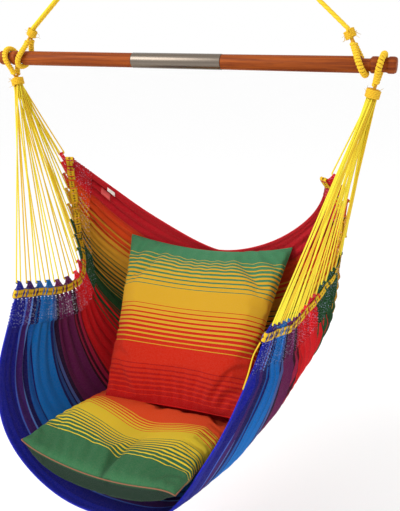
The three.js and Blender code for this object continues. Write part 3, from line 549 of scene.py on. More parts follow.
def winding(line, axis_out, turns, wound_radius, along_half, radial_half, knot, sides=8):
    """Cord wound round a line: centre = line + R * (cos f * out + sin f * third), with f growing
    by a full turn in each pitch. Its section is an ellipse, and a knot swells it by a third once
    in every turn."""
    points_in_turn = 14
    count = int(turns * points_in_turn) + 1
    line = resampled(line, count)
    tangent = unit(np.gradient(line, axis=0))
    out = unit(np.cross(tangent, axis_out))
    third = np.broadcast_to(axis_out, out.shape)
    angle = 2 * np.pi * turns * np.linspace(0, 1, count)
    path = line + wound_radius * (np.cos(angle)[:, None] * out + np.sin(angle)[:, None] * third)
    around = 2 * np.pi * np.arange(sides) / sides
    ellipse = 1 / np.sqrt((np.cos(around) / along_half) ** 2 + (np.sin(around) / radial_half) ** 2)
    from_knot = (angle - knot + np.pi) % (2 * np.pi) - np.pi
    swell = 1 + 0.32 * np.exp(-((from_knot / 0.33) ** 2))
    return tube(path, swell[:, None] * ellipse[None, :], sides, tangent), tube_marks(path, sides)


# Each loop's name and body, its centre, the directions across it and to its throat, and its sizes:
# the distance to its seat, half its width, and the length and radius of its throat
eye_axis = (np.array([0, 0, eye_height]), np.array([1.0, 0, 0]), np.array([0, 0, -1.0]))
loops = [("hanging_eye", "suspension", *eye_axis, 0.023, 0.023, 0.026, 0.01075)]
for side, side_name in both_sides:
    centre, towards = loop_axis(side, *rope_loop)
    across = np.array([0.0, -side, 0])
    sizes = (rope_loop[1], 0.0264, 0.048, 0.00885)
    loops.append((f"rope_loop_{side_name}", "suspension", centre, across, towards, *sizes))
    centre, towards = loop_axis(side, *clew_loop)
    sizes = (clew_loop[1], 0.0264, 0.040, gather_radius)
    loops.append((f"clew_{side_name}", "hammock", centre, -across, towards, *sizes))
# The binding starts this far past the throat, the gathered cords fill this length of it, and its
# own cord makes this many turns, whose centre starts and ends so far along it
binding_gap, binding_length, binding_turns = 0.0103, 0.0178, 5.0
bound_start, bound_end = 0.0012, 0.0184

for name, body, centre, across, towards, seat, half, throat_length, throat_radius in loops:
    third = np.cross(across, towards)
    to_world = np.stack([across, towards, third])
    line = smooth_path(loop_line(seat, half, throat_length), 300) @ to_world + centre
    core = resampled(line, 80)
    serving_line = line[16:-16]
    turns = measured(serving_line)[-1] / serving_pitch
    wound_radius = core_radius + serving_radius
    section = (served_half, serving_radius, served_knot)
    served = (*winding(serving_line, third, turns, wound_radius, *section), True, 0.15)
    core_part = (tube(core, core_radius, 10, third), tube_marks(core, 10), True, 0.7)
    loop = mesh_piece(name + "_served", [core_part, served], serving_finish)
    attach(loop, body)
    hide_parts(name + "_core", name + "_whipping")
    starts_at = throat_length + binding_gap
    places = np.linspace(starts_at + bound_start, starts_at + bound_end, 60)[:, None]
    bound_line = centre + towards * places
    wound_radius = throat_radius + serving_radius
    section = (serving_radius, bound_half, bound_knot)
    binding_cord = winding(bound_line, third, binding_turns, wound_radius, *section)
    binding_parts = [(*binding_cord, True, 0.3)]
    # Frayed ends of the binding cord stick out beside the throat
    chance = np.random.default_rng(len(name) + int(centre[0] > 0))
    for _ in range(14 if name.startswith("rope_loop") else 5):
        turn = chance.uniform(0, 2 * np.pi)
        away = np.cos(turn) * across + np.sin(turn) * third
        root = centre + towards * (starts_at + chance.uniform(0.001, 0.017))
        root = root + away * (throat_radius + 0.0025)
        tip = root + away * chance.uniform(0.004, 0.012) + towards * chance.uniform(-0.012, 0.006)
        middle = (root + tip) / 2 + chance.uniform(-0.002, 0.002, size=3)
        hair = smooth_path([root, middle, tip], 8)
        points = tube(hair, np.linspace(0.0006, 0.0003, 8), 5, third + 0.1)
        binding_parts.append((points, tube_marks(hair, 5), True, 0.1))
    if name.startswith("clew"):
        # The gathered cords fill the binding and show as twelve ribs
        bundle = centre + towards * np.linspace(starts_at, starts_at + binding_length, 6)[:, None]
        bundle_sides = 48
        turn = 2 * np.pi * np.arange(bundle_sides) / bundle_sides
        ribs = throat_radius * (0.9 + 0.06 * np.abs(np.cos(6 * turn)))
        ribbed = tube(bundle, np.tile(ribs, (len(bundle), 1)), bundle_sides, across)
        binding_parts.append((ribbed, tube_marks(bundle, bundle_sides), True, 0.6))
    bound = mesh_piece(name + "_bound", binding_parts, serving_finish)
    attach(bound, body)
    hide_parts(name + "_binding")


# Spreader bar
# Two turned and oiled hardwood dowels with rounded ends. Two chamfered grooves near each end keep
# the loops in place.
def turned(profile, sides):
    """A shape turned about the bar's axis: each pair of the profile is a place along X and a
    radius."""
    profile = np.asarray(profile, dtype=float)
    path = np.zeros((len(profile), 3))
    path[:, 0], path[:, 2] = profile[:, 0], bar_height
    turn = 2 * np.pi * np.arange(sides) / sides
    ring = np.stack([np.zeros(sides), -np.sin(turn), np.cos(turn)], axis=1)
    points = path[:, None] + profile[:, 1][:, None, None] * ring[None]
    around = np.linspace(0, 1, sides + 1)[None, :]
    return points, np.stack(np.broadcast_arrays(around, profile[:, 0:1]), axis=-1)


def softened(corners, radius, steps=4):
    """The profile with each inner corner rounded: a quadratic curve between two points at most the
    radius away along its two sides."""
    corners = np.asarray(corners, dtype=float)
    rounded = [corners[:1]]
    share = np.linspace(0, 1, steps)[:, None]
    for before, corner, after in zip(corners[:-2], corners[1:-1], corners[2:]):
        back, on = before - corner, after - corner
        first = corner + back * min(radius / np.linalg.norm(back), 0.45)
        last = corner + on * min(radius / np.linalg.norm(on), 0.45)
        curve = (1 - share) ** 2 * first + 2 * share * (1 - share) * corner + share**2 * last
        rounded.append(curve)
    rounded.append(corners[-1:])
    return np.concatenate(rounded)


wood_finish, wood_shader = new_finish("oiled hardwood", linear(160, 80, 24), 0.55)
# The figure and the pores are drawn out along the bar
figure = noise(wood_finish, 3.0, 5.0, (1.6, 46.0, 46.0), 0.3)
pores = noise(wood_finish, 2.0, 2.0, (14.0, 420.0, 420.0))
grain = node(wood_finish, "ValToRGB", {"Fac": figure})
grain_colours = [(0.3, (108, 42, 8)), (0.7, (164, 80, 20))]
for element, (position, colour) in zip(grain.color_ramp.elements, grain_colours):
    element.position, element.color = position, linear(*colour)
pore_range = {"From Min": 0.56, "From Max": 0.72, "To Max": 0.5}
in_pores = node(wood_finish, "MapRange", {"Value": pores, **pore_range})
wood_colour = blended(wood_finish, in_pores.outputs[0], grain.outputs[0], linear(78, 32, 12))
wood_finish.node_tree.links.new(wood_colour, wood_shader.inputs["Base Color"])
wood_shader.inputs["Specular IOR Level"].default_value = 0.15
raise_surface(wood_finish, wood_shader, pores, 0.0003, 0.6)

# Each groove's half width at its middle height, the run of its chamfer, and its depth
bar_half, bar_radius, groove_half, chamfer = 0.5, 0.0175, 0.0095, 0.0025
rope_groove_depth, clew_groove_depth = 0.0047, 0.0026
# The inner end of each dowel is inside the sleeve. Its outer end is rounded in two steps
dowel_start, inner_radius, end_round = 0.1133, bar_radius - 0.0006, 0.0055
for side, side_name in both_sides:
    corners = [[dowel_start, 0.0], [dowel_start, inner_radius]]
    for groove, depth in ((rope_loop[0], rope_groove_depth), (clew_loop[0], clew_groove_depth)):
        start, end, deep = groove - groove_half, groove + groove_half, bar_radius - depth
        corners += [[start - chamfer, bar_radius], [start + chamfer, deep]]
        corners += [[end - chamfer, deep], [end + chamfer, bar_radius]]
    corners += [[bar_half - end_round, bar_radius], [bar_half - 0.001, bar_radius - 0.0022]]
    corners += [[bar_half, bar_radius - end_round], [bar_half, 0.0001]]
    profile = softened(corners, 0.0012) * np.array([side, 1])
    points, marks = turned(profile if side > 0 else profile[::-1], 48)
    dowel = mesh_piece(f"dowel_{side_name}", [(points, marks, True, 0.0)], wood_finish)
    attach(dowel, "spreader_bar")
    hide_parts(f"bar_{side_name}")


# Sleeve of the bar
# A satin steel tube with finely brushed walls joins the two dowels at the middle.
steel_finish, steel_shader = new_finish("brushed steel", linear(196, 190, 184), 0.34, 1.0)
brushing = noise(steel_finish, 3.0, 4.0, (3.0, 500.0, 500.0))
steel_colour = blended(steel_finish, brushing, linear(100, 91, 82), linear(136, 125, 114))
steel_finish.node_tree.links.new(steel_colour, steel_shader.inputs["Base Color"])
raise_surface(steel_finish, steel_shader, brushing, 0.0001, 0.5)
sleeve_half, sleeve_end, sleeve_radius = 0.113, 0.0162, 0.0177
half_curve = [[-sleeve_half, sleeve_end], [-sleeve_half, sleeve_radius]]
edge_curve = half_curve + [[sleeve_half, sleeve_radius], [sleeve_half, sleeve_end]]
points, marks = turned(softened(edge_curve, 0.0008), 64)
sleeve = mesh_piece("steel_sleeve", [(points, marks, True, 0.0)], steel_finish)
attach(sleeve, "spreader_bar")
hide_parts("bar_sleeve")


# Cloth of the seat
# One width of soft striped cotton, woven in one piece with its side edges, sags from edge to edge.
# It falls in folds below the tongues, and its stripes run from side to side.
cloth_colours = [
    (0.0, (12, 30, 168)),
    (0.036, (8, 20, 138)),
    (0.072, (72, 104, 208)),
    (0.077, (66, 26, 112)),
    (0.098, (92, 136, 216)),
    (0.103, (18, 16, 96)),
    (0.118, (10, 100, 190)),
    (0.138, (10, 26, 112)),
    (0.143, (4, 124, 214)),
    (0.226, (18, 28, 100)),
    (0.232, (40, 92, 174)),
    (0.243, (26, 12, 62)),
    (0.249, (84, 104, 172)),
    (0.257, (44, 12, 56)),
    (0.266, (116, 26, 88)),
    (0.350, (58, 6, 38)),
    (0.358, (192, 32, 78)),
    (0.366, (74, 6, 38)),
    (0.374, (196, 26, 72)),
    (0.385, (98, 6, 32)),
    (0.391, (244, 20, 32)),
    (0.520, (236, 18, 30)),
    (0.545, (32, 86, 44)),
    (0.645, (32, 86, 44)),
    (0.712, (234, 168, 44)),
    (0.812, (236, 172, 40)),
    (0.835, (234, 76, 18)),
    (0.890, (226, 60, 22)),
    (0.906, (206, 18, 36)),
]
# Zones where lines of the two neighbouring colours take turns, and the angle that the lines turn
# through over the whole order of the stripes. Then the weave's angle over the whole order, and over
# one metre across
cloth_zones, cloth_lines = [(0.51, 0.58), (0.645, 0.775), (0.800, 0.860)], 420.0
cloth_weave = (7000.0, 5200.0)


def striped_finish(name, colours, zones, lines, weave_scale, highlight_flecks=0.0):
    """Woven stripes, on a piece whose surface coordinates are the place across the cloth in metres
    and the place in the order of its stripes, 0 to 1, which picks a colour from a ramp. In a line
    zone the colours on its two sides take turns: it is the second where the sine of lines times the
    order, plus the place in the zone from -1 to 1, is above 0. The number kept at a point paints
    shade on it, deep in a fold of the cloth or a cushion and on a cushion's under panel. Flecks are
    painted pale highlights, laid by noise."""
    material, shader = new_finish(name, linear(120, 60, 60), 0.86)
    across, order = surface_place(material)
    ramp = node(material, "ValToRGB")
    ramp.color_ramp.interpolation = "CONSTANT"
    while len(ramp.color_ramp.elements) < len(colours):
        ramp.color_ramp.elements.new(0.5)
    for element, (at, colour) in zip(ramp.color_ramp.elements, colours):
        element.position = at
        element.color = linear(*colour)
    waves = (order * lines).sine()
    shifted = order
    for start, end in zones:
        middle, half = (start + end) / 2, (end - start) / 2 + 0.004
        over = (waves + (order - middle) * (1 / half)) > 0.0
        jumped = over * (2 * half) + (middle - half)
        shifted = shifted + (order > start) * (order < end) * (jumped - order)
    material.node_tree.links.new(shifted.socket, ramp.inputs[0])
    weave = (order * weave_scale[0]).sine() * (across * weave_scale[1]).sine()
    slubs = noise(material, 260.0, 3.0)
    # Painted shade: the number kept at each point blends the colour towards near black in the folds
    pale_slubs, painted_shade = slubs * 0.10 - 0.035, tone_and_shade_of(material) * 0.5
    colour = blended(material, pale_slubs, ramp.outputs[0], linear(236, 190, 170))
    colour = blended(material, painted_shade, colour, linear(22, 8, 26))
    # Painted highlights: pale flecks where the noise is high
    if highlight_flecks:
        colour = blended(material, (slubs > 0.61) * highlight_flecks, colour, linear(196, 206, 240))
    material.node_tree.links.new(colour, shader.inputs["Base Color"])
    shader.inputs["Sheen Weight"].default_value = 0.03
    shader.inputs["Specular IOR Level"].default_value = 0.1
    raise_surface(material, shader, weave * 0.4 + slubs, 0.0009)
    return material


cloth_stripes = (cloth_colours, cloth_zones, cloth_lines, cloth_weave)
cloth_finish = striped_finish("striped cotton cloth", *cloth_stripes)
# Run over which the folds of the edge come up to their height, and that over which pleats fade
fold_start, pleat_fade = 0.19, 0.20
fold_height, pleat_height, crease_height = 0.007, 0.016, 0.0016


def pleats(v, run, side):
    """Height of the narrow pleats, and how deep each point lies in a pleat, for the painted shade
    in the folds. Two pleats run down from each tongue: their height is (1 - |cos|)^0.8 of pi times
    the count of pleats along the edge, which wanders a little with the run, and they fade out as
    exp(-(depth / 0.2)^2)."""
    from_edge = row_length(v, side)[:, None] - run
    room = np.clip((from_edge - edge_depth) / fold_start, 0, 1)
    tongue = np.interp(v, row_of_tongue, np.arange(tongue_count))[:, None]
    wander = 0.30 * np.sin(7 * run + 2.0 * side) + 0.22 * np.sin(19 * v[:, None] + 11 * run)
    pleat = (1 - np.abs(np.cos(np.pi * (2 * tongue + wander * room)))) ** 0.8
    uneven = 0.75 + 0.25 * np.sin(2.3 * tongue + 1.7 * side)
    fade = np.exp(-(((from_edge - edge_depth) / pleat_fade) ** 2))
    fade = fade + 0.08 * np.clip(from_edge / 0.3, 0, 1)
    height = pleat_height * uneven * pleat * fade * np.clip(0.35 + room * 5, 0, 1)
    return height, pleat**4 * fade * uneven


def dressed_cloth(v, run, side, offset):
    """The cloth with its folds: five broad ones as in the solids, (1 - cos(10 pi v)) / 2 of their
    height, the pleats, and small creases, the product of two sines. All stand out, away from the
    cushions."""
    from_edge = row_length(v, side)[:, None] - run
    waves = (1 - np.cos(10 * np.pi * v))[:, None] / 2
    broad = fold_height * np.exp(-((from_edge / fold_start) ** 2)) * waves
    room = np.clip((from_edge - edge_depth) / fold_start, 0, 1)
    crease = np.sin(31 * v[:, None] + 17 * run) * np.sin(13 * run + 5 * v[:, None])
    crease = crease_height * (1 + crease)
    height = broad * room + pleats(v, run, side)[0] + crease * np.clip(room * 2, 0, 1) + offset
    return cloth_points(v, run, side) + height[..., None] * cloth_normals(v, run, side)


row_of_tongue = np.interp(tongue_runs, edge_run, edge_rows)
rows = np.linspace(0, 1, 300)
halves = []
for side in (-1, 1):
    reach_here = row_length(rows, side) - edge_depth + 0.004
    run = reach_here[:, None] * np.sin(np.linspace(0, 1, 78) * np.pi / 2)[None, :] ** 0.9
    points = dressed_cloth(rows, run, side, cloth_thickness / 2)
    marks = np.stack([side * run, np.broadcast_to(rows[:, None], run.shape)], axis=-1)
    halves.append((points, marks, pleats(rows, run, side)[1]))
points, marks, shade = (
    np.concatenate([left[:, ::-1], right[:, 1:]], axis=1) for left, right in zip(*halves)
)
cloth = mesh_piece("seat_cloth", [(points, marks, False, shade)], cloth_finish)
cloth_wall = cloth.modifiers.new("thickness", "SOLIDIFY")
cloth_wall.thickness, cloth_wall.offset = 0.0016, 0.0
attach(cloth, "hammock")
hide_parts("cloth")


# Hems of the cloth
# The front and top hems of the striped cotton are turned over and sewn, so each is a strip thicker
# than the cloth. Its section runs once round, from the edge inwards on the outer face and back on
# the inner one.
hem_section = [(0.0, 0.0022), (0.004, 0.0028), (0.011, 0.0024), (0.018, 0.0027), (0.0205, 0.001)]
hem_section += [(share, -thick) for share, thick in hem_section[::-1]]
section_shares = np.array([0] + [share for share, _ in hem_section] + [0])
hem_edge = 0.0016


def beside_hem(row, run, side, offset):
    """The line of points on one row of the cloth, at an offset from its middle."""
    return dressed_cloth(np.array([row]), run, side, cloth_thickness / 2 + offset)[0]


for hem_name, hem_row, inwards in (("front", 0.0, 1), ("top", 1.0, -1)):
    sections = []
    for side in (-1, 1):
        length = row_length(np.array([hem_row]), side)[0] - edge_depth + 0.002
        run = np.linspace(0, length, 150)[None, :]
        edge = beside_hem(hem_row, run, side, 0.0)
        inner = beside_hem(hem_row + inwards * 0.004, run, side, 0.0)
        ring = [edge + unit(edge - inner) * hem_edge]
        for share, thick in hem_section:
            ring.append(beside_hem(hem_row + inwards * share, run, side, thick))
        sections.append(np.stack(ring, axis=1))
    points = np.concatenate([sections[0][::-1], sections[1][1:]])
    hem_marks = np.zeros((len(points), len(section_shares), 2))
    hem_marks[..., 0] = measured(points[:, 0])[:, None]
    hem_marks[..., 1] = hem_row + inwards * section_shares
    hem = mesh_piece(f"{hem_name}_hem", [(points, hem_marks, True, 0.0)], cloth_finish)
    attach(hem, "hammock")


# Labels
# Two small labels of smooth tape, left blank, are sewn on the red cloth near its upper left corner.
# Each is a small piece of the cloth's own surface, moved to the side of the cushions.
label_sink, label_thickness = -0.0018, 0.0007
for label_name, colour, row, from_middle, wide, tall in (
    ("white_label", (238, 236, 232), 0.972, 0.372, 0.028, 0.020),
    ("red_label", (222, 84, 84), 0.945, 0.392, 0.034, 0.020),
):
    label_finish, label_shader = new_finish(label_name.replace("_", " "), linear(*colour), 0.6)
    raise_surface(label_finish, label_shader, noise(label_finish, 1400.0, 2.0), 0.0003)
    # The label's height in rows of the cloth, from the distance between two rows near it
    near_rows = cloth_points(row + np.array([-0.01, 0.01]), np.full((2, 1), from_middle), -1)
    down = np.linspace(-0.5, 0.5, 9) * tall * 0.02 / np.linalg.norm(near_rows[1] - near_rows[0])
    run = from_middle + np.linspace(-0.5, 0.5, 11)[None, :] * wide + np.zeros((9, 1))
    points = dressed_cloth(row + down, run, -1, label_sink)
    marks = np.stack(np.broadcast_arrays(run, (row + down)[:, None]), axis=-1)
    label = mesh_piece(label_name, [(points, marks, False, 0.0)], label_finish)
    label_wall = label.modifiers.new("thickness", "SOLIDIFY")
    label_wall.thickness, label_wall.offset = label_thickness, 0.0
    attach(label, "hammock")


# Cushions
# Two loose cushions of striped cotton in green, yellow and red lie in the cloth, one as the seat
# and one behind the back. They are soft and full. The seat's seam is piped with a twisted cord, and
# the back's has a welt of its own cloth.
seat_colours = [
    (0.0, (56, 116, 74)),
    (0.20, (66, 126, 80)),
    (0.26, (255, 220, 50)),
    (0.50, (255, 220, 50)),
    (0.54, (252, 82, 26)),
    (0.90, (236, 40, 22)),
]
back_colours = [
    (0.0, (204, 12, 14)),
    (0.10, (222, 20, 14)),
    (0.15, (230, 42, 12)),
    (0.34, (230, 42, 12)),
    (0.43, (240, 184, 42)),
    (0.66, (240, 184, 42)),
    (0.77, (70, 142, 98)),
]
seat_zones = [(0.14, 0.38), (0.46, 0.62)]
back_zones = [(0.02, 0.22), (0.31, 0.55), (0.65, 0.89)]


def cushion_form(size, seam_height, u, v, crown, belly, bend, dip_share, taper_share):
    """The cushion as its solid has it: the swell is sqrt((1 - u^4) (1 - v^4)), its sides pull in
    between the corners, a dip runs down its middle, and u and v run from -1 to 1."""
    width, length = size
    pull = 0.045
    swell = np.sqrt(np.clip((1 - u**4) * (1 - v**4), 0, 1))
    taper = 1 - taper_share * (1 - v) / 2
    x = width / 2 * u * taper * (1 - pull * (1 - v**2) * u**2)
    y = length / 2 * v * (1 - pull * (1 - u**2) * v**2)
    dip = 1 - dip_share * np.exp(-((u / 0.3) ** 2)) * (1 - v**2 * 0.5)
    lift = bend * u**2
    top = np.stack([x, y, lift + seam_height + crown * swell * dip], axis=-1)
    bottom = np.stack([x, y, lift - seam_height - belly * swell], axis=-1)
    return top, bottom


def stuffed(cover, seam, cap):
    """The points of a sewn cover after it has swollen: Blender's cloth with a little pressure
    inside and some spare fabric, no gravity, and its seam held. No point moves further than the
    cap."""
    start = np.empty(3 * len(cover.data.vertices))
    cover.data.vertices.foreach_get("co", start)
    start = start.reshape(-1, 3)
    held = cover.vertex_groups.new(name="seam")
    held.add(seam, 1.0, "REPLACE")
    modifier = cover.modifiers.new("stuffing", "CLOTH")
    cotton = modifier.settings
    cotton.quality = 5
    cotton.mass = 0.25
    cotton.tension_stiffness = cotton.compression_stiffness = 12.0
    cotton.shear_stiffness = 4.0
    cotton.bending_stiffness = 0.6
    cotton.air_damping = 2.0
    cotton.use_pressure = True
    cotton.uniform_pressure_force = 4.0
    cotton.shrink_min = -0.07
    cotton.vertex_group_mass = "seam"
    cotton.effector_weights.gravity = 0.0
    modifier.collision_settings.use_collision = False
    last_frame = 20
    modifier.point_cache.frame_start, modifier.point_cache.frame_end = 1, last_frame
    for step in range(1, last_frame + 1):
        bpy.context.scene.frame_set(step)
    evaluated = cover.evaluated_get(bpy.context.evaluated_depsgraph_get())
    swollen = np.empty_like(start)
    evaluated.data.vertices.foreach_get("co", swollen.reshape(-1))
    cover.modifiers.remove(modifier)
    cover.vertex_groups.remove(held)
    bpy.context.scene.frame_set(1)
    move = swollen - start
    far = np.linalg.norm(move, axis=1, keepdims=True)
    return start + move * np.minimum(1, cap / np.maximum(far, 1e-6))


# Points along each side of a panel, and half the height of the seam between the two
panel_points, seam_half = 65, 0.0025
pucker_height, swell_cap, seam_reach = 0.0032, 0.024, 0.004
welt_radius, piping_radius, welt_out = 0.0022, 0.0015, 0.0008


def gathered_panels(size, form, folds, front_lift):
    """Top and bottom panels of a cushion before it is stuffed, and the places u and v of their
    points. A panel is the cushion's form with its folds and with two sets of sine puckers, which
    fade away from the seam."""
    grid = np.linspace(-1, 1, panel_points)
    u, v = np.meshgrid(grid, grid)
    top, bottom = cushion_form(size, seam_half, u, v, *form)
    # The cover puckers where it is gathered into the seam
    puckers = np.sin(41 * u + 0.7) * np.exp(-(((1 - np.abs(v)) / 0.17) ** 2))
    puckers = puckers + np.sin(46 * v + 1.9) * np.exp(-(((1 - np.abs(u)) / 0.17) ** 2))
    off_seam = np.clip((1 - u**10) * (1 - v**10), 0, 1)
    top[..., 2] += (folds(u, v) + pucker_height * puckers) * off_seam
    # The front seam rides up and lies back, most at the right, and the under panel swells out
    # below it
    front = front_lift * np.exp(-(((v + 1) / 0.22) ** 2)) * (1 - u**6) * (0.45 + 0.55 * u)
    for panel in (top, bottom):
        panel[..., 2] += front
        panel[..., 1] += 0.7 * front
    swelling = np.exp(-(((v + 0.93) / 0.06) ** 2)) * (1 - u**6)
    bottom[..., 1] -= 0.9 * front_lift * swelling
    bottom[..., 2] -= 1.15 * front_lift * swelling
    return top, bottom, u, v


def rim_of(panel):
    """The values of a square grid along its four sides, once round."""
    return np.concatenate([panel[0, :-1], panel[:-1, -1], panel[-1, :0:-1], panel[::-1, 0]])


def made_cushion(
    name, node_name, body, size, form, placing, colours, zones,
    piping, folds, front_lift, under_shade_strength,
):
    """Sews a top and a bottom panel together at their rims, stuffs the cover, turns it into its
    place and lays the piping, or a welt of the same cloth, along the seam."""
    turn, move = placing
    top, bottom, u, v = gathered_panels(size, form, folds, front_lift)
    marks = np.stack([u * size[0] / 2, (v + 1) / 2], axis=-1)
    strip = np.stack([rim_of(top), rim_of(bottom)])
    strip_marks = np.stack([rim_of(marks), rim_of(marks)])
    # Painted shade: the top is darker down in its folds, and the under panel is darker, most below
    # the front seam
    top_shade = np.clip(-folds(u, v) / 0.016, 0, 1) ** 2
    under_shade = under_shade_strength * (0.6 + 1.0 * np.exp(-(((v + 1) / 0.3) ** 2)))
    strip_shade = np.stack([rim_of(top_shade), rim_of(under_shade)])
    finish = striped_finish(name + " cotton", colours, zones, 240.0, (5200.0, 3600.0))
    panels = [(top, marks, False, top_shade), (bottom, marks, False, under_shade)]
    cushion = mesh_piece(name, [*panels, (strip, strip_marks, False, strip_shade)], finish)
    shape = bmesh.new()
    shape.from_mesh(cushion.data)
    bmesh.ops.remove_doubles(shape, verts=shape.verts, dist=0.00001)
    bmesh.ops.recalc_face_normals(shape, faces=shape.faces)
    shape.to_mesh(cushion.data)
    shape.free()
    seam_line = strip.mean(axis=0)
    places = np.array([vertex.co for vertex in cushion.data.vertices])
    from_seam = places[:, None, :2] - seam_line[None, ::2, :2]
    near = np.min(np.linalg.norm(from_seam, axis=2), axis=1) < seam_reach
    full = stuffed(cushion, np.flatnonzero(near).tolist(), swell_cap)
    cushion.data.vertices.foreach_set("co", full.reshape(-1))
    turned_in = mathutils.Matrix(turn.tolist()).to_4x4()
    cushion.data.transform(mathutils.Matrix.Translation(move) @ turned_in)
    finer = cushion.modifiers.new("finer", "SUBSURF")
    finer.levels = finer.render_levels = 1
    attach(cushion, body)
    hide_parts(node_name)
    outward = unit(seam_line * np.array([1, 1, 0]))
    line = (seam_line + outward * welt_out) @ turn.T + move
    radius, welt_marks, welt_tone = piping_radius, tube_marks(line, 8), 0.2
    if piping is None:
        radius, welt_tone = welt_radius, 0.0
        # The welt keeps the stripes of the panels that it joins
        welt_marks = np.stack([measured(line), rim_of(marks)[:, 1]], axis=-1)[:, None]
        welt_marks = np.tile(welt_marks, (1, 9, 1))
    welt_points = tube(line, radius, 8, turn @ np.array([0.0, 0.0, 1.0]))
    welt_part = (welt_points, welt_marks, True, welt_tone)
    welt = mesh_piece(name + "_welt", [welt_part], piping or finish)
    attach(welt, body)


def seat_folds(u, v):
    """Relief of the seat cushion: a crease from the front seam back to the middle, and two soft
    lobes beside the valley. The crease's line is u = 0.16 + 0.10 v, its depth fades towards the
    rear, and the lobes are a cosine across times a cosine along."""
    line = 0.16 + 0.10 * v
    crease = -0.024 * np.exp(-(((u - line) / 0.045) ** 2)) * np.clip(-v - 0.1, 0, 1)
    return crease - 0.006 * np.cos(np.pi * u * 1.3) * np.cos(1.2 * np.pi * v + 0.6)


def back_folds(u, v):
    """Relief of the back cushion: a slack hollow across the lower right, exp(-(distance / 0.10)^2)
    from the line u = 0.72 - 0.25 v, and waves of a sine near the top."""
    slack = -0.006 * np.exp(-(((u - 0.72 + 0.25 * v) / 0.10) ** 2)) * np.clip(0.2 - v, 0, 1)
    return slack + 0.003 * np.sin(6 * u + 2 * v) * np.clip(v, 0, 1)


# Width and length of each cushion, its form (crown, belly, bend, and the shares of its dip and its
# taper), its own axes, and the place of its middle
seat_size, seat_form = (0.440, 0.400), (0.040, 0.024, 0.040, 0.35, 0.0)
back_size, back_form = (0.490, 0.485), (0.050, 0.026, 0.050, 0.0, 0.22)
seat_axes = [[0.99281, -0.1187, 0.01552], [0.11971, 0.98443, -0.1287], [0, 0.12963, 0.99156]]
back_axes = [[0.9992, 0.02669, 0.02978], [-0.03999, 0.66693, 0.74405], [0, -0.74464, 0.66746]]
seat_placing = (np.array(seat_axes).T, np.array([-0.030, -0.185, -1.43362]))
back_placing = (np.array(back_axes).T, np.array([0.005, 0.10199, -1.21250]))
piping_finish = cord_finish("piping", linear(144, 84, 70), linear(98, 46, 42), 2, 0.006)
made_cushion(
    "seat_pad", "seat_cushion", "seat_cushion_body", seat_size, seat_form, seat_placing,
    seat_colours, seat_zones,
    piping=piping_finish, folds=seat_folds, front_lift=0.016, under_shade_strength=1.0,
)
made_cushion(
    "back_pad", "back_cushion", "back_cushion_body", back_size, back_form, back_placing,
    back_colours, back_zones,
    piping=None, folds=back_folds, front_lift=0.0, under_shade_strength=0.0,
)


# Knotted side edges
# Below the band the warp of the cloth is worked into an open net of crossing strands, and above it
# the warp is gathered into sixteen narrow tongues, each rolled over the turn of one cord.
def edge_points(run, height, offset, side):
    """Points beside the side edge at distances run along it: down to the band's lower edge they lie
    square to the edge, and below it on the cloth's own row."""
    at = edge_frame(run, side)
    upper = at["origin"] + at["square"] * height[:, None] + at["normal"] * offset[:, None]
    length = row_length(at["v"], side)
    below = (length + np.minimum(height, -band_width / 2))[:, None]
    lower = cloth_points(at["v"], below, side)[:, 0]
    lower = lower + cloth_normals(at["v"], below, side)[:, 0] * offset[:, None]
    return np.where((height >= -band_width / 2)[:, None], upper, lower)


def strand(path, radius, sides, sideways, run):
    """One strand of warp as a part of a piece, in the colour that the cloth has at a run of its
    edge."""
    marks = tube_marks(path, sides)
    marks[..., 1] = np.interp(run, edge_run, edge_rows)
    return tube(path, radius, sides, sideways), marks, True, 0.0


# The knotted warp gets painted highlights as pale flecks
net_finish = striped_finish("knotted warp", *cloth_stripes, highlight_flecks=0.5)
strand_pitch, net_pitch, strand_radius, bundle_pitch = 0.0088, 0.0165, 0.0024, 0.0175
band_front, thread_end, thread_radius = 0.0040, 0.0135, 0.0013
cloth_middle = cloth_thickness / 2
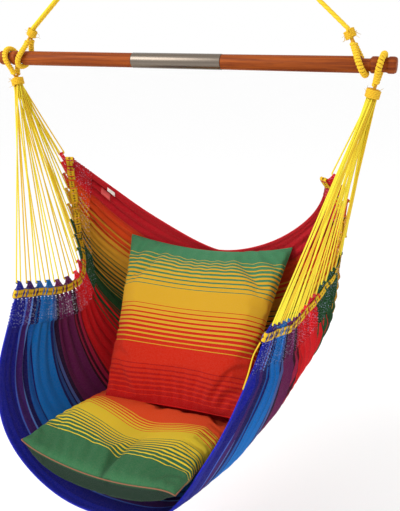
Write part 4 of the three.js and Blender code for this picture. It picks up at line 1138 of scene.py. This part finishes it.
# Radius of each bundle of a tongue, from below the band to its end over the cord, and of its roll
bundle_points, roll_radius = 30, 0.0036
bundle_places = np.linspace(0, 1, bundle_points)
bundle_radius = np.interp(bundle_places, [0, 0.3, 0.6, 1], [0.0024, 0.0024, 0.0017, 0.0012])
for side, side_name in both_sides:
    parts = []
    chance = np.random.default_rng(11 + side)
    depth_run = np.linspace(-band_width / 2 + 0.002, -edge_depth - 0.003, 44)
    # Under the band the strands are drawn into bundles, and further down they cross and are knotted
    drawn = 0.62 * np.clip((depth_run + 0.031) / 0.016, 0, 1)
    for index, place in enumerate(np.arange(0.005, edge_length - 0.004, strand_pitch)):
        swing = strand_pitch / 2 * chance.uniform(0.75, 1.1)
        bundle = bundle_pitch * (np.floor(place / bundle_pitch) + 0.5)
        outwards = edge_frame(np.array([place]), side)["normal"][0]
        for way in (-1, 1):
            phase = 2 * np.pi * (depth_run + 0.01) / net_pitch + np.pi * index
            phase = phase + chance.uniform(-0.25, 0.25)
            run = place + way * swing * np.cos(phase)
            run = run * (1 - drawn) + bundle * drawn + way * 0.0012 * drawn
            offset = cloth_middle + way * 0.0013 * np.sin(phase) + chance.uniform(-0.0004, 0.0004)
            path = edge_points(np.clip(run, 0, edge_length), depth_run, offset, side)
            knots = strand_radius * (0.85 + 0.4 * np.abs(np.cos(phase)) ** 6)
            parts.append(strand(path, knots, 5, outwards, place))
    tips = tongue_tips(side)
    for index in range(tongue_count):
        # Bundles of a tongue: they start spread under the band, draw together and roll over the
        # cord
        at_tip = (tips[key][index] for key in ("centre", "up", "out", "across", "half"))
        centre, up, out, across, half = at_tip
        roll_turn = np.pi - np.radians([0, 45, 90, 135, 180, 225])
        roll = roll_radius * (np.cos(roll_turn)[:, None] * out + np.sin(roll_turn)[:, None] * up)
        for aside in np.linspace(-1, 1, 9):
            start_run = tongue_runs[index] + aside * tongue_width * 0.48
            start_run = np.clip(start_run, 0.001, edge_length - 0.001)
            heights = np.array([-0.013, 0.0, band_width / 2 - 0.001])
            foot = edge_points(np.full(3, start_run), heights, np.full(3, cloth_middle), side)
            rolled = centre + across * aside * half * 0.9 + roll
            path = smooth_path(np.concatenate([foot, rolled]), bundle_points)
            parts.append(strand(path, bundle_radius, 6, across, tongue_runs[index]))
        # Warp threads lie across both faces of the band and part it into short lengths
        for aside in (-0.48, -0.41, 0.41, 0.48):
            run = np.clip(tongue_runs[index] + aside * tongue_width, 0.002, edge_length - 0.002)
            along = edge_frame(np.array([run]), side)["along"][0]
            for offset in (-band_front, cloth_thickness + band_front):
                heights = np.linspace(-thread_end, 0.0130, 9)
                bow = np.cos(heights / thread_end * np.pi / 2) ** 0.5
                bowed = cloth_middle + (offset - cloth_middle) * bow
                path = edge_points(np.full(9, run), heights, bowed, side)
                parts.append(strand(path, thread_radius, 5, along, run))
    net = mesh_piece(f"knotted_edge_{side_name}", parts, net_finish)
    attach(net, "hammock")
    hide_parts(f"edge_net_{side_name}")


# Bands of the side edges
# A flat yellow band woven with small dark diamonds runs along the inside of each edge, turns round
# its end and comes back outside, with the roots of the tongues between its two layers.
band_finish, band_shader = new_finish("woven band", linear(242, 196, 40), 0.8)
over_band, down_band = surface_place(band_finish)
diamonds_in_metre = 62.0
zigzag = (down_band * diamonds_in_metre).step("PINGPONG", 0.5)
from_line = abs(over_band - 0.5)
diamond = (from_line + abs(zigzag - 0.25)) < 0.2
selvedge = from_line > 0.43
woven_marks = (diamond * 0.8).step("MAXIMUM", selvedge * 0.3)
band_colour = blended(band_finish, woven_marks, linear(242, 196, 40), linear(96, 52, 30))
band_finish.node_tree.links.new(band_colour, band_shader.inputs["Base Color"])
band_shader.inputs["Specular IOR Level"].default_value = 0.15
raise_surface(band_finish, band_shader, (down_band * 5200.0).sine(), 0.0003)
# Thickness of one layer of the band, and its distance from the middle of the cloth
band_thickness, band_off = 0.0014, cloth_middle + 0.0008
# Once round the band: the run along the edge, the face of the cloth that it is on, from -1 to 1,
# and how far it is past the end
there, round_end = np.linspace(0, 1, 240), np.linspace(0, np.pi, 9)[1:-1]
straight, bent = np.ones(len(there)), np.ones(len(round_end))
cosine, sine = np.cos(round_end), np.sin(round_end)
run = edge_length * np.concatenate([there, bent, 1 - there, 0 * bent, [0]])
face = np.concatenate([-straight, -cosine, straight, cosine, [-1]])
past = np.concatenate([0 * straight, sine, 0 * straight, -sine, [0]])
band_bow, band_wave, end_room = 0.0018, 0.0009, 0.0004
tongue_pitch = tongue_runs[1] - tongue_runs[0]
for side, side_name in both_sides:
    along = edge_frame(run, side)["along"]
    low, high = (np.full(len(run), way * (band_width / 2 - 0.0003)) for way in (-1, 1))
    # Between the warp threads that cross it, each length of the band bows out and its edges wave
    bow = np.abs(np.sin(np.pi * (run - tongue_runs[0] + tongue_pitch / 2) / tongue_pitch)) ** 0.7
    wave = band_wave * np.sin(2 * np.pi * run / (1.7 * tongue_pitch) + side)
    ring = []
    for height, depth in ((low, 0.0), (high, 0.0), (high, band_thickness), (low, band_thickness)):
        radius = band_off + depth + band_bow * bow
        beyond = along * (past * (radius + end_room))[:, None]
        ring.append(edge_points(run, height + wave, cloth_middle + face * radius, side) + beyond)
    points = np.stack(ring, axis=1)
    marks = np.zeros((len(run), 5, 2))
    marks[..., 0] = [0, 1, 1, 0, 0]
    marks[..., 1] = measured(points[:, 0])[:, None]
    name = f"woven_band_{side_name}"
    band = mesh_piece(name, [(points, marks, True, 0.0)], band_finish, smooth=False)
    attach(band, "hammock")
    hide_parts(f"edge_band_{side_name}")


# Loose tail of the right band
# At the front of the right edge the band's cotton ravels into a yellow cord, which hangs down
# beside the front hem.
tail_radius, tail_points = 0.0015, 24
front_row, row_behind = np.array([0.0]), np.array([0.01])
tail_run = row_length(front_row, 1)[0] - np.linspace(0.012, 0.122, tail_points)[None, :]
tail = cloth_points(front_row, tail_run, 1)[0]
off_hem = unit(tail - cloth_points(row_behind, tail_run, 1)[0])
share = np.linspace(0, 1, tail_points)[:, None]
tail = tail + off_hem * (0.003 + 0.007 * np.sin(np.pi * share) + 0.003 * np.sin(9 * share))
tail = tail - cloth_normals(front_row, tail_run, 1)[0] * (0.004 + 0.004 * np.sin(5 * share))
tail = resampled(tail, 40)
points = tube(tail, tail_radius, 8, np.array([0.0, 0.0, 1.0]))
tail_cord = mesh_piece("band_tail", [(points, tube_marks(tail, 8), True, 0.1)], serving_finish)
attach(tail_cord, "hammock")


# Floor and light
# The chair hangs over a plain pale floor, in even soft light with one large lamp at the upper left.
floor_half, floor_height = 40, -1.98
quarters = ((-1, -1), (1, -1), (1, 1), (-1, 1))
corners = [(x * floor_half, y * floor_half, floor_height) for x, y in quarters]
floor_mesh = bpy.data.meshes.new("floor")
floor_mesh.from_pydata(corners, [], [(0, 1, 2, 3)])
floor = bpy.data.objects.new("floor", floor_mesh)
floor_mesh.materials.append(new_finish("pale floor", linear(253, 253, 253), 0.9)[0])
bpy.context.scene.collection.objects.link(floor)

world = bpy.data.worlds.new("soft daylight")
bpy.context.scene.world = world
world.use_nodes = True
daylight = world.node_tree.nodes["Background"]
daylight.inputs["Color"].default_value = (1.0, 1.0, 1.0, 1.0)
daylight.inputs["Strength"].default_value = 1.0

lamp = bpy.data.objects.new("window light", bpy.data.lights.new("window light", "AREA"))
lamp.data.energy = 60.0
lamp.data.shape = "SQUARE"
lamp.data.size = 1.6
lamp.location = (-1.7, -2.1, 0.9)
aim = np.array([0.0, 0.0, -1.1]) - np.array(lamp.location)
lamp.rotation_euler = mathutils.Vector(aim).to_track_quat("-Z", "Y").to_euler()
bpy.context.scene.collection.objects.link(lamp)
bpy.context.scene.view_settings.view_transform = "Standard"
